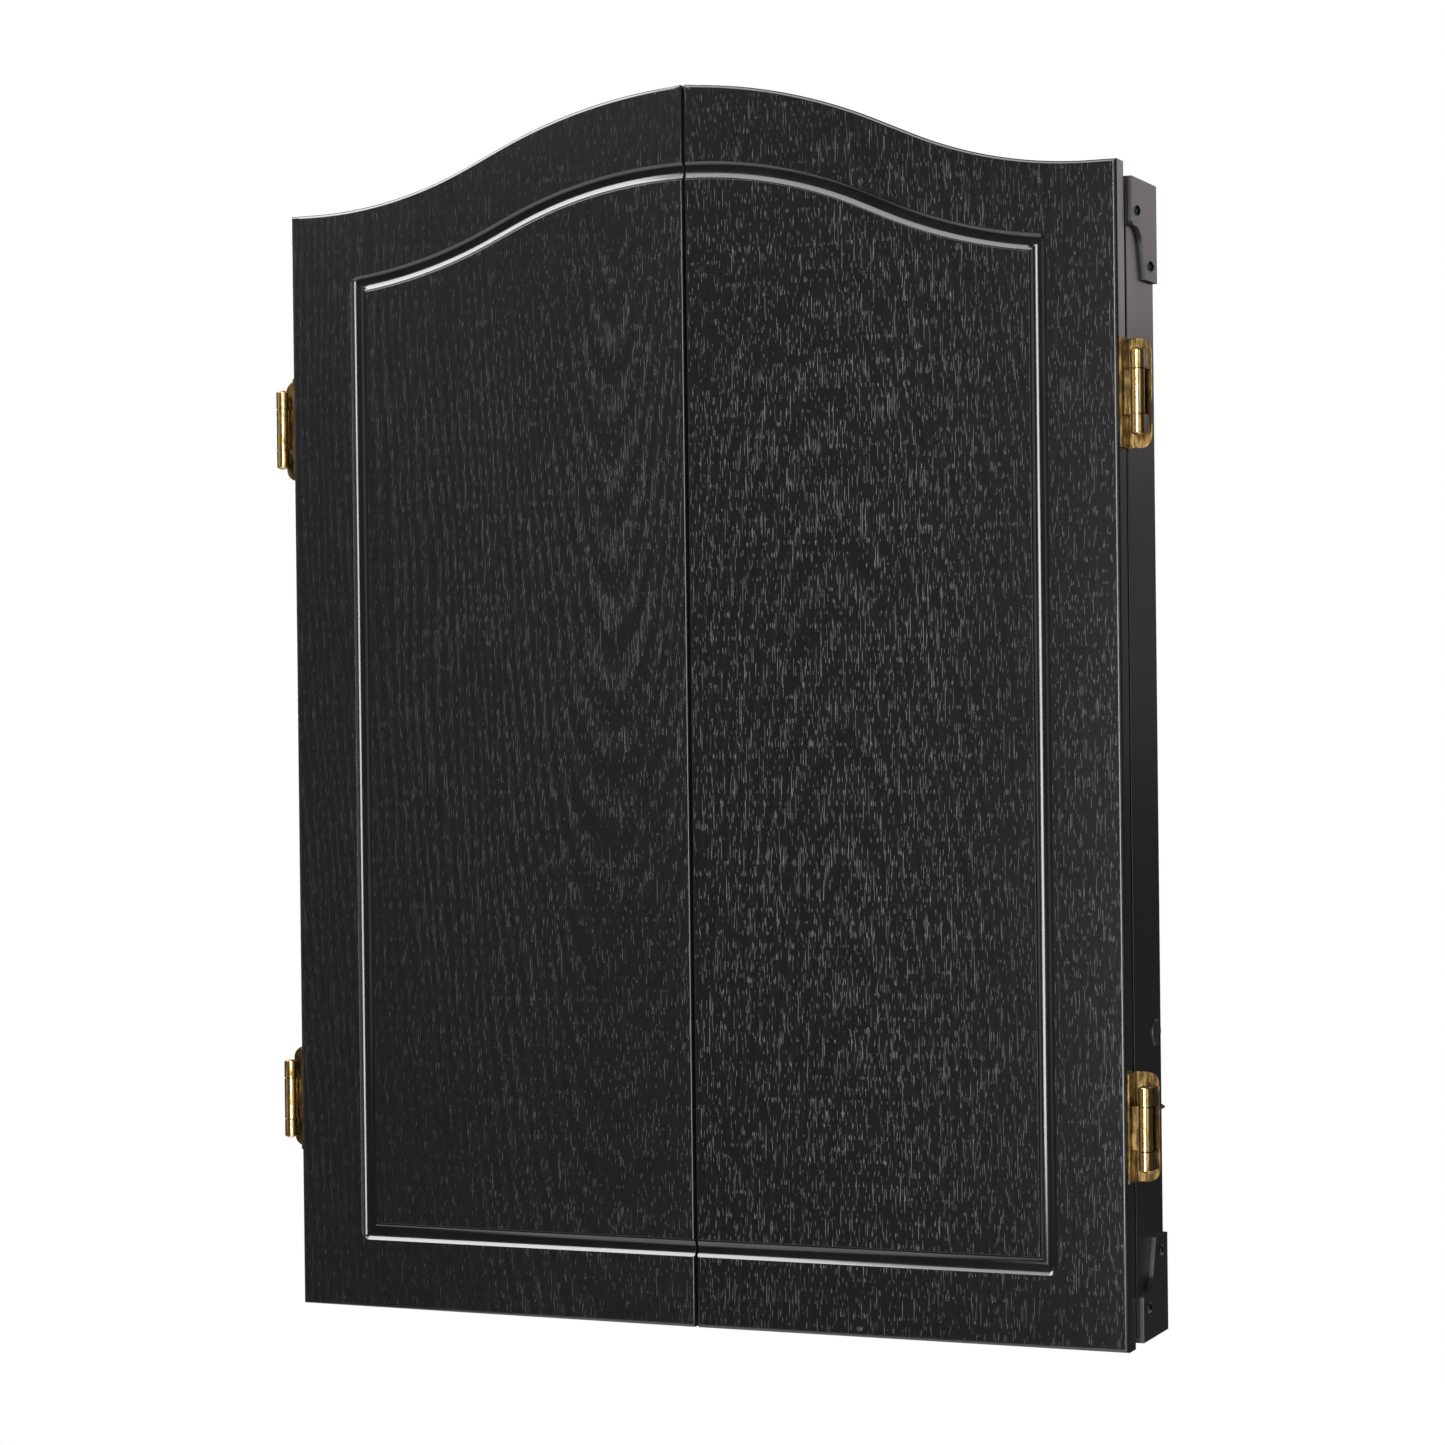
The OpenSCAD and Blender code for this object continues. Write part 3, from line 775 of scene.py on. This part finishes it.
@dataclass
class Screw:
    """A cross-slotted screw, modelled once with its head's base or face at the origin."""

    head: Head
    head_r: float
    head_h: float
    shank_r: float = 1.5 * MM
    shank_l: float = 6 * MM
    slot_w: float = 0.9 * MM
    slot_d: float = 0.8 * MM
    slot_reach: float = 1.15
    """Length of a slot in head radii."""
    taper: float = 0.55
    """How much narrower a slot's floor and the shank's end are."""
    facets: int = 28
    rings: int = 40
    first_roll: float = 12
    """Turn of the first screw's slots in degrees."""
    roll_step: float = 37
    """Turn from one screw's slots to the next one's in degrees."""
    model: bpy.types.Object = field(init=False)

    def __post_init__(self) -> None:
        """Models the screw."""
        self.model = self.turn_round() if self.head is Head.ROUND else self.turn_flat()
        self.cut_cross()
        smooth(self.model, angle=40)

    def turn_round(self) -> bpy.types.Object:
        """Models a domed head that stands on z = 0, with its shank below."""
        ball_r = (self.head_r ** 2 + self.head_h ** 2) / (2 * self.head_h)
        piece = add(bpy.ops.mesh.primitive_uv_sphere_add, segments=self.facets,
                    ring_count=self.rings, radius=ball_r, location=(0, 0, self.head_h - ball_r))
        bpy.ops.object.transform_apply()
        open_up(piece)
        bpy.ops.mesh.bisect(plane_co=(0, 0, 0), plane_no=(0, 0, 1), use_fill=True,
                            clear_inner=True)
        pick(piece, Part.FACES, lambda at, normal: normal.z < -0.9)
        self.draw_shank(self.head_r)
        return piece

    def turn_flat(self) -> bpy.types.Object:
        """Models a countersunk head with its face at z = 0, with its shank below."""
        piece = add(bpy.ops.mesh.primitive_cone_add, vertices=self.facets,
                    radius1=self.shank_r, radius2=self.head_r, depth=self.head_h,
                    location=(0, 0, -self.head_h / 2))
        bpy.ops.object.transform_apply()
        open_up(piece)
        pick(piece, Part.FACES, lambda at, normal: normal.z < -0.9)
        self.draw_shank(self.shank_r)
        return piece

    def draw_shank(self, from_r: float) -> None:
        """Insets the picked underside to the shank's width and draws the shank down from it."""
        if from_r > self.shank_r:
            bpy.ops.mesh.inset(thickness=from_r - self.shank_r)
        bpy.ops.mesh.extrude_region_move(TRANSFORM_OT_translate={"value": (0, 0, -self.shank_l)})
        bpy.ops.transform.resize(value=(self.taper, self.taper, 1))
        close_up()

    def cut_cross(self) -> None:
        """Cuts two crossing tapered slots into the top of the head."""
        top = self.head_h if self.head is Head.ROUND else 0.0
        for turned in (False, True):
            cutter = add(bpy.ops.mesh.primitive_cube_add, size=1, location=(0, 0, top))
            arm = (self.slot_reach * self.head_r, self.slot_w, 2 * self.slot_d)
            cutter.scale = (arm[1], arm[0], arm[2]) if turned else arm
            bpy.ops.object.transform_apply(location=True, rotation=False, scale=True)
            open_up(cutter)
            pick(cutter, Part.FACES, lambda at, normal: normal.z < -0.9)
            bpy.ops.transform.resize(value=(self.taper, self.taper, 1))
            close_up()
            carve(self.model, cutter)

    def drive(self, shop: Workshop, node: str, name: str) -> None:
        """Puts a copy of the screw where each screw of a CAD node stands.

        Args:
            shop: The workshop that finishes the piece.
            node: The CAD node that holds a group of screws.
            name: Name of the joined group.
        """
        copies = []
        for index, (top, out) in enumerate(screw_places(node)):
            copy = copy_mesh(self.model, f"{name}_{index}")
            foot = top - out * (self.head_h if self.head is Head.ROUND else 0.0)
            degrees = self.roll_step * index + self.first_roll
            roll = Matrix.Rotation(math.radians(degrees), 4, "Z")
            turn = out.to_track_quat("Z", "Y").to_matrix().to_4x4()
            copy.data.transform(Matrix.Translation(foot) @ turn @ roll)
            copies.append(copy)
        group = join(copies, name)
        group.data.materials.clear()
        shop.hand_over(group, node)


def islands(piece: bpy.types.Object) -> list[list[Vector]]:
    """Splits a merged mesh into its separate solids.

    Args:
        piece: The object whose mesh is read.

    Returns:
        The corner points of each solid.
    """
    mesh = bmesh.new()
    mesh.from_mesh(piece.data)
    left, found = set(mesh.verts), []
    while left:
        todo, solid = [min(left, key=lambda corner: corner.index)], []
        left.discard(todo[0])
        while todo:
            corner = todo.pop()
            solid.append(corner.co.copy())
            for edge in corner.link_edges:
                other = edge.other_vert(corner)
                if other in left:
                    left.discard(other)
                    todo.append(other)
        found.append(solid)
    mesh.free()
    return found


def screw_places(node: str) -> list[tuple[Vector, Vector]]:
    """Finds the top of each screw in a CAD node, and the direction that its head faces.

    Args:
        node: The CAD node that holds a group of screws.

    Returns:
        One pair of top and outward direction for each screw.
    """
    scratch = merged_copy(node, "scratch")
    places = []
    for solid in islands(scratch):
        low = Vector(min(p[i] for p in solid) for i in range(3))
        high = Vector(max(p[i] for p in solid) for i in range(3))
        middle, size = (low + high) / 2, high - low
        axis = max(range(3), key=lambda i: size[i])

        def girth(p: Vector) -> float:
            """Distance of a corner point from the screw's axis."""
            return math.sqrt(sum((p[i] - middle[i]) ** 2 for i in range(3) if i != axis))

        widest = max(solid, key=girth)
        out = Vector((0, 0, 0))
        out[axis] = 1.0 if widest[axis] > middle[axis] else -1.0
        top = middle + out * size[axis] / 2
        places.append((top, out))
    discard(scratch)
    return places


# ---- doors -----------------------------------------------------------------


@dataclass
class GroovePath:
    """Middle line of the right door's groove: along the arch, down, and back along the bottom."""

    corner_x: float = 210 * MM
    level_z: float = 281.4 * MM
    bottom_z: float = -276.6 * MM
    rise: float = 55 * MM
    crown_r: float = 267 * MM
    cove_r: float = 295 * MM
    slope: float = math.radians(24)
    run_out: float = 15 * MM
    """How far the path runs on past the seam."""

    def cove_x(self) -> float:
        """Distance from the seam to where the cove would run level."""
        drop = (self.crown_r + self.cove_r) * (1 - math.cos(self.slope))
        straight = (self.rise - drop) / math.sin(self.slope)
        return (self.crown_r + self.cove_r) * math.sin(self.slope) + straight * math.cos(self.slope)

    def row(self, shift: float, steps: int = 20, fan: int = 8) -> list[tuple[float, float]]:
        """Points of the path moved outwards by shift: round at outer corners, sharp at inner ones.

        Args:
            shift: Distance from the middle line, outwards.
            steps: Straight steps for each arc of the arch.
            fan: Steps round each corner.

        Returns:
            X and Z of each point, as many for every shift.
        """
        crown_z = self.level_z + self.rise - self.crown_r
        cove_x, cove_z = self.cove_x(), self.level_z + self.cove_r
        crown_r, cove_r = self.crown_r + shift, self.cove_r - shift
        points = []
        first = math.asin(-self.run_out / crown_r)
        for i in range(steps + 1):
            a = first + (self.slope - first) * i / steps
            points.append((crown_r * math.sin(a), crown_z + crown_r * math.cos(a)))
        inner_x = self.corner_x + min(shift, 0)
        middle_end = math.asin((cove_x - self.corner_x) / self.cove_r)
        last = middle_end if shift >= 0 else math.asin((cove_x - inner_x) / cove_r)
        for i in range(steps + 1):
            a = self.slope + (last - self.slope) * i / steps
            points.append((cove_x - cove_r * math.sin(a), cove_z - cove_r * math.cos(a)))
        corner_z = cove_z - self.cove_r * math.cos(middle_end)
        start = math.pi / 2 - middle_end
        reach = max(shift, 0)
        for centre, a0, a1 in (((self.corner_x, corner_z), start, 0.0),
                               ((self.corner_x, self.bottom_z), 0.0, -math.pi / 2)):
            for i in range(fan + 1):
                a = a0 + (a1 - a0) * i / fan
                if shift >= 0:
                    points.append((centre[0] + reach * math.cos(a),
                                   centre[1] + reach * math.sin(a)))
                elif a1 == 0.0:
                    points.append(points[2 * steps + 1])
                else:
                    points.append((self.corner_x + shift, self.bottom_z - shift))
        points.append((-self.run_out, self.bottom_z - shift))
        return points


@dataclass
class Door:
    """The right door's board with its eased front and round-nosed groove, and its mirror image."""

    path: GroovePath = field(default_factory=GroovePath)
    nose_r: float = 6.41 * MM
    """Radius of the groove's round bottom."""
    nose_out: float = 4.01 * MM
    """How far its centre lies in front of the face."""
    nose_proud: float = 1 * MM
    """How far the cutter's round section runs on in front of the face."""
    cutter_t: float = 6 * MM
    """Thickness of the cutter, towards the front."""
    groove_reach: float = 4 * MM
    """Depth below the face within which a surface belongs to the groove or the seam."""
    flush: float = 0.02 * MM
    """How near to the front or back plane counts as on it."""
    front_ease: float = 2.0 * MM
    edge_ease: float = 0.5 * MM
    seam_ease: float = 1.1 * MM
    rows: int = 24

    def board(self) -> bpy.types.Object:
        """Draws the board forward from the door's own outline and rounds its front edges.

        Returns:
            The board without its groove.
        """
        low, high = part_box("right_door")
        piece = copy_mesh(frame["nodes"]["right_door"], "right_door_board")
        open_up(piece)
        bpy.ops.mesh.remove_doubles(threshold=CAD_WELD)
        bpy.ops.mesh.customdata_custom_splitnormals_clear()
        pick(piece, Part.FACES,
             lambda at, normal: not (normal.y > 0.99 and at.y > high.y - NEAR))
        bpy.ops.mesh.delete(type="FACE")
        bpy.ops.mesh.select_all(action="SELECT")
        bpy.ops.mesh.dissolve_faces()
        bpy.ops.mesh.select_all(action="SELECT")
        bpy.ops.mesh.extrude_region_move(TRANSFORM_OT_translate={"value": (0, low.y - high.y, 0)})
        face_outwards()

        def seam_front(a: Vector, b: Vector) -> bool:
            """True for the front edge along the seam."""
            return max(a.y, b.y) < low.y + NEAR and max(a.x, b.x) < low.x + NEAR

        def outer_front(a: Vector, b: Vector) -> bool:
            """True for an edge of the front face, except along the seam."""
            beyond = low.x + self.seam_ease + NEAR
            return max(a.y, b.y) < low.y + NEAR and max(a.x, b.x) > beyond

        for test, width in ((seam_front, self.seam_ease), (outer_front, self.front_ease)):
            pick(piece, Part.EDGES, test)
            bpy.ops.mesh.bevel(offset=width, offset_type="OFFSET", segments=4, profile=0.5,
                               affect="EDGES", clamp_overlap=False)
        close_up()
        return piece

    def groove_cutter(self) -> bpy.types.Object:
        """Lays a grid along the groove's path, bent to its round section, and thickens it forward.

        Returns:
            The closed cutter.
        """
        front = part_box("right_door")[0].y
        widest = math.acos((self.nose_out - self.nose_proud) / self.nose_r)
        angles = [widest * (2 * i / self.rows - 1) for i in range(self.rows + 1)]
        lines = [self.path.row(self.nose_r * math.sin(a)) for a in angles]
        columns = len(lines[0])
        cutter = add(bpy.ops.mesh.primitive_grid_add, x_subdivisions=columns - 1,
                     y_subdivisions=self.rows, size=1)
        for index, corner in enumerate(cutter.data.vertices):
            line, step = divmod(index, columns)
            x, z = lines[line][step]
            corner.co = (x, front - self.nose_out + self.nose_r * math.cos(angles[line]), z)
        open_up(cutter)
        bpy.ops.mesh.remove_doubles(threshold=WELD)
        bpy.ops.mesh.extrude_region_move(TRANSFORM_OT_translate={"value": (0, -self.cutter_t, 0)})
        face_outwards()
        close_up()
        return cutter

    def build(self, shop: Workshop) -> None:
        """Makes both doors and hands them over.

        Args:
            shop: The workshop that finishes the pieces.
        """
        right = self.board()
        carve(right, self.groove_cutter())
        open_up(right)
        bpy.ops.mesh.remove_doubles(threshold=WELD)
        close_up()
        ease_edges(right, self.edge_ease, segments=3, angle=42)
        left = copy_mesh(right, "left_door_board")
        open_up(left)
        bpy.ops.transform.mirror(constraint_axis=(True, False, False), center_override=(0, 0, 0))
        face_outwards()
        close_up()
        for piece, side in ((right, "right"), (left, "left")):
            smooth(piece, angle=38)
            shop.paint(piece, f"black_veneer_{side}", "black_veneer", "groove_lacquer")
            for face in piece.data.polygons:
                face.material_index = self.finish_of(face)
            shop.hand_over(piece, f"{side}_door")

    def finish_of(self, face: bpy.types.MeshPolygon) -> int:
        """Index of a face's finish.

        Args:
            face: A face of either door.

        Returns:
            0 for the front and back, 1 for the outside edges, 2 for the groove and the seam.
        """
        low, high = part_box("right_door")
        x, y, z = abs(face.center.x), face.center.y, face.center.z
        if y < low.y + self.flush or y > high.y - self.flush:
            return 0
        inside = x < high.x - self.front_ease and z > low.z + self.front_ease
        in_front = inside and y < low.y + self.groove_reach
        return 2 if in_front and abs(face.normal.x) < 0.999 else 1


# ---- box, hinges and fittings ---------------------------------------------


@dataclass
class Carcass:
    """The wooden box: rails, battens, back panel, and what sits on the right side."""

    rail_ease: float = 1.0 * MM
    fine_ease: float = 0.3 * MM
    stud_ease: float = 0.15 * MM

    def build(self, shop: Workshop) -> None:
        """Makes the box's pieces and hands them over.

        Args:
            shop: The workshop that finishes the pieces.
        """
        for node in ("side_rail_left", "side_rail_right", "top_rail", "bottom_rail"):
            shop.refine(node, f"{node}_board", self.rail_ease, segments=3)
        for node in ("upper_batten", "lower_batten"):
            shop.refine(node, f"{node}_strip", self.rail_ease)
        shop.refine("back_panel", "back_sheet", self.fine_ease)
        shop.refine("side_cap", "side_cap_turned", self.fine_ease)
        shop.refine("side_stud", "side_stud_turned", self.stud_ease)
        shop.refine("board_bracket", "board_bracket_pressed", self.fine_ease)


@dataclass
class Brackets:
    """Four bent corner brackets with their round-head screws, and the board bracket's screws."""

    edge: float = 0.45 * MM
    screw_head_r: float = 3.1 * MM
    screw_head_h: float = 1.9 * MM

    def build(self, shop: Workshop) -> None:
        """Makes the brackets and their screws.

        Args:
            shop: The workshop that finishes the pieces.
        """
        for corner in CORNERS:
            shop.refine(f"corner_bracket_{corner}", f"corner_iron_{corner}", self.edge)
        screw = Screw(Head.ROUND, self.screw_head_r, self.screw_head_h)
        screw.drive(shop, "corner_bracket_screws", "corner_iron_screws")
        screw.drive(shop, "board_bracket_screws", "board_bracket_round_screws")
        discard(screw.model)


@dataclass
class Hinges:
    """Four brass hinges with their leaves, pins and flat-head screws."""

    leaf_edge: float = 0.35 * MM
    dome_edge: float = 0.2 * MM
    knuckle_reach: float = 4.3 * MM
    """Distance from the pin's middle within which a face belongs to a knuckle."""
    screw_head_r: float = 2.9 * MM
    leaf_screw_h: float = 1.2 * MM
    strike_screw_h: float = 1.0 * MM

    def build(self, shop: Workshop) -> None:
        """Makes the hinges and all flat-head screws.

        Args:
            shop: The workshop that finishes the pieces.
        """
        for corner in CORNERS:
            for leaf in ("frame_leaf", "door_leaf"):
                # The leaves take the darker leaf_bronze, partly painted shade, and their knuckles
                # the brighter brass.
                piece = shop.refine(f"{leaf}_{corner}", f"{leaf}_plated_{corner}",
                                    self.leaf_edge, "leaf_bronze", "antique_brass")
                self.brighten_knuckles(piece, f"hinge_pin_{corner}")
            shop.refine(f"hinge_pin_{corner}", f"hinge_pin_domed_{corner}", self.dome_edge)
        screw = Screw(Head.FLAT, self.screw_head_r, self.leaf_screw_h)
        for node in ("frame_leaf_screws", "door_leaf_screws_left", "door_leaf_screws_right",
                     "catch_screws"):
            screw.drive(shop, node, f"{node}_crossed")
        discard(screw.model)
        strike_screw = Screw(Head.FLAT, self.screw_head_r, self.strike_screw_h)
        for side in SIDES:
            strike_screw.drive(shop, f"strike_screws_{side}", f"strike_screws_crossed_{side}")
        discard(strike_screw.model)

    def brighten_knuckles(self, leaf: bpy.types.Object, pin: str) -> None:
        """Gives the rolled part of a leaf, close round its pin, the brighter second finish; the
        rest keeps the darker first finish, which is partly painted shade.

        Args:
            leaf: The hinge leaf.
            pin: The CAD node of the hinge's pin.
        """
        low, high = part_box(pin)
        centre = (low + high) / 2
        for face in leaf.data.polygons:
            away = math.hypot(face.center.x - centre.x, face.center.y - centre.y)
            # Knuckle ends and bevels, facing up or down, stay dark: painted shade in the seams
            # between knuckles, partly patina.
            rolled = away < self.knuckle_reach and abs(face.normal.z) < 0.3
            face.material_index = 1 if rolled else 0


@dataclass
class Fittings:
    """What is mounted inside: scoreboards, trays, racks, catches, plates and bumpers."""

    wood_ease: float = 0.8 * MM
    metal_ease: float = 0.2 * MM
    panel_ease: float = 0.3 * MM
    case_ease: float = 0.5 * MM
    rubber_ease: float = 0.3 * MM

    def build(self, shop: Workshop) -> None:
        """Makes the inner pieces.

        Args:
            shop: The workshop that finishes the pieces.
        """
        for side in SIDES:
            for node, name, edge in (("scoreboard", "score_panel", self.panel_ease),
                                     ("scoreboard_trim", "score_frame", self.wood_ease),
                                     ("chalk_tray", "chalk_ledge", self.wood_ease),
                                     ("dart_rack", "dart_block", self.wood_ease),
                                     ("strike_plates", "strike_pair", self.metal_ease)):
                shop.refine(f"{node}_{side}", f"{name}_{side}", edge)
        for level in LEVELS:
            shop.refine(f"catch_{level}", f"catch_case_{level}", self.case_ease)
        shop.refine("catch_magnets", "catch_magnet_stacks", self.metal_ease)
        shop.refine("door_bumpers", "bumper_domes", self.rubber_ease)


# ---- studio ----------------------------------------------------------------


@dataclass(frozen=True)
class Softbox:
    """A rectangular studio light that the camera doesn't see."""

    name: str
    place: Point
    aim: Point
    size: tuple[float, float]
    power: float
    tint: Colour = (1.0, 1.0, 1.0)

    def hang(self) -> None:
        """Adds the light to the scene."""
        lamp = bpy.data.lights.new(self.name, "AREA")
        lamp.shape = "RECTANGLE"
        lamp.size, lamp.size_y = self.size
        lamp.energy = self.power
        lamp.color = self.tint
        light = bpy.data.objects.new(self.name, lamp)
        light.location = self.place
        aim = Vector(self.aim) - Vector(self.place)
        light.rotation_mode = "QUATERNION"
        light.rotation_quaternion = aim.to_track_quat("-Z", "Y")
        light.visible_camera = False
        bpy.context.scene.collection.objects.link(light)


@dataclass
class Studio:
    """Camera, pale floor, surroundings and lights."""

    camera_at: Point = (0.80944, -1.95039, 0.03516)
    yaw: float = math.radians(22.764)
    pitch: float = math.radians(-0.3516)
    roll: float = math.radians(-0.6620)
    lens: float = 89.63
    sensor: float = 36
    """Width of the camera's sensor in millimetres, as the lens is."""
    floor_below: float = 0.42
    """How far the floor lies under the cabinet."""
    floor_r: float = 1.3
    floor_fade: tuple[float, float] = (0.55, 0.98)
    """Where the floor begins and ends to fade out, as shares of its radius."""
    dim: float = 0.06
    """Brightness of the room as the cabinet sees it."""

    def set_camera(self) -> None:
        """Places the camera by its yaw, pitch and roll."""
        ahead = Vector((-math.sin(self.yaw) * math.cos(self.pitch),
                        math.cos(self.yaw) * math.cos(self.pitch), math.sin(self.pitch)))
        side = Vector((math.cos(self.yaw), math.sin(self.yaw), 0))
        above = side.cross(ahead)
        right = math.cos(self.roll) * side + math.sin(self.roll) * above
        up = math.cos(self.roll) * above - math.sin(self.roll) * side
        turn = Matrix((right, up, -ahead)).transposed()
        camera = bpy.data.objects.new("camera", bpy.data.cameras.new("camera"))
        camera.data.lens = self.lens
        camera.data.sensor_width = self.sensor
        camera.data.clip_end = 50
        camera.rotation_mode = "QUATERNION"
        camera.rotation_quaternion = turn.to_quaternion()
        camera.location = self.camera_at
        bpy.context.scene.collection.objects.link(camera)
        bpy.context.scene.camera = camera

    def set_room(self) -> None:
        """Makes a white backdrop that lights the cabinet only dimly."""
        scene = bpy.context.scene
        scene.world = bpy.data.worlds.new("room")
        scene.world.use_nodes = True
        tree = scene.world.node_tree
        shown = tree.nodes["Background"]
        shown.inputs["Color"].default_value = (1, 1, 1, 1)
        shown.inputs["Strength"].default_value = 1.0
        felt = tree.nodes.new("ShaderNodeBackground")
        felt.inputs["Color"].default_value = (0.97, 0.98, 1.0, 1)
        felt.inputs["Strength"].default_value = self.dim
        rays = tree.nodes.new("ShaderNodeLightPath")
        either = tree.nodes.new("ShaderNodeMixShader")
        tree.links.new(rays.outputs["Is Camera Ray"], either.inputs[0])
        tree.links.new(felt.outputs[0], either.inputs[1])
        tree.links.new(shown.outputs[0], either.inputs[2])
        tree.links.new(either.outputs[0], tree.nodes["World Output"].inputs["Surface"])
        scene.view_settings.view_transform = "Standard"

    def lay_floor(self) -> None:
        """Lays a round pale floor under the cabinet that fades out at its rim."""
        low, high = CAD_BOX
        centre = (low + high) / 2
        place = (centre.x, centre.y, low.z - self.floor_below)
        floor = add(bpy.ops.mesh.primitive_circle_add, vertices=96, radius=self.floor_r,
                    fill_type="NGON", location=place)
        floor.name = "floor"
        r = Recipe("floor_white", roughness=0.9, specular=0.1)
        grit = r.noise(r.stretched((1, 1, 1)), 30.0, 3.0)
        x, y, _ = r.axes(r.place)
        reach = r.sum("SQRT", r.sum("ADD", r.sum("MULTIPLY", x, x), r.sum("MULTIPLY", y, y)))
        start, end = (share * self.floor_r for share in self.floor_fade)
        r.wire(r.between(reach, start, end, 1.0, 0.0), r.shader.inputs["Alpha"])
        colour = r.blend(grit, grey(0.86), grey(0.90))
        floor.data.materials.append(r.dress(colour))

    def hang_lights(self) -> None:
        """Hangs the softboxes round the cabinet."""
        for softbox in (
            Softbox("bank", (-1.025, -0.52, 1.09), (-1.025, 0.05, 0.27), (1.15, 1.16), 66.0),
            Softbox("high_bank", (-0.075, -0.475, 1.15), (-0.075, 0.08, 0.318), (0.75, 0.90), 14.0),
            Softbox("strip", (0.30, -1.06, -0.01), (0.30, 0.0, -0.01), (0.30, 1.0), 17.0),
            Softbox("right_front", (1.25, -0.95, 0.10), (0, 0, 0.05), (0.62, 1.5), 3.0),
            Softbox("left_fill", (-1.50, -1.00, 0.20), (0, 0, 0.05), (0.8, 1.4), 1.8),
            Softbox("behind_right", (0.95, 1.95, 0.85), (0.25, 0, 0.2), (1.0, 0.9), 3.0,
                    (1.0, 0.9, 0.88)),
            Softbox("behind_right_low", (0.95, 1.95, 0.17), (0.25, 0, 0.1), (1.0, 0.42), 0.13),
            Softbox("behind_left", (-1.30, 1.60, 0.60), (0, 0, 0), (1.2, 1.2), 25.0),
        ):
            softbox.hang()


# ---- the whole -------------------------------------------------------------


def main() -> None:
    """Builds the studio and every sub-assembly in order."""
    logging.basicConfig(level=logging.INFO, format="%(message)s")
    studio = Studio()
    studio.set_camera()
    studio.set_room()
    shop = Workshop(mix_finishes())
    for assembly in (Door(), Carcass(), Brackets(), Hinges(), Fittings()):
        assembly.build(shop)
    studio.lay_floor()
    studio.hang_lights()


if __name__ == "__main__":
    main()
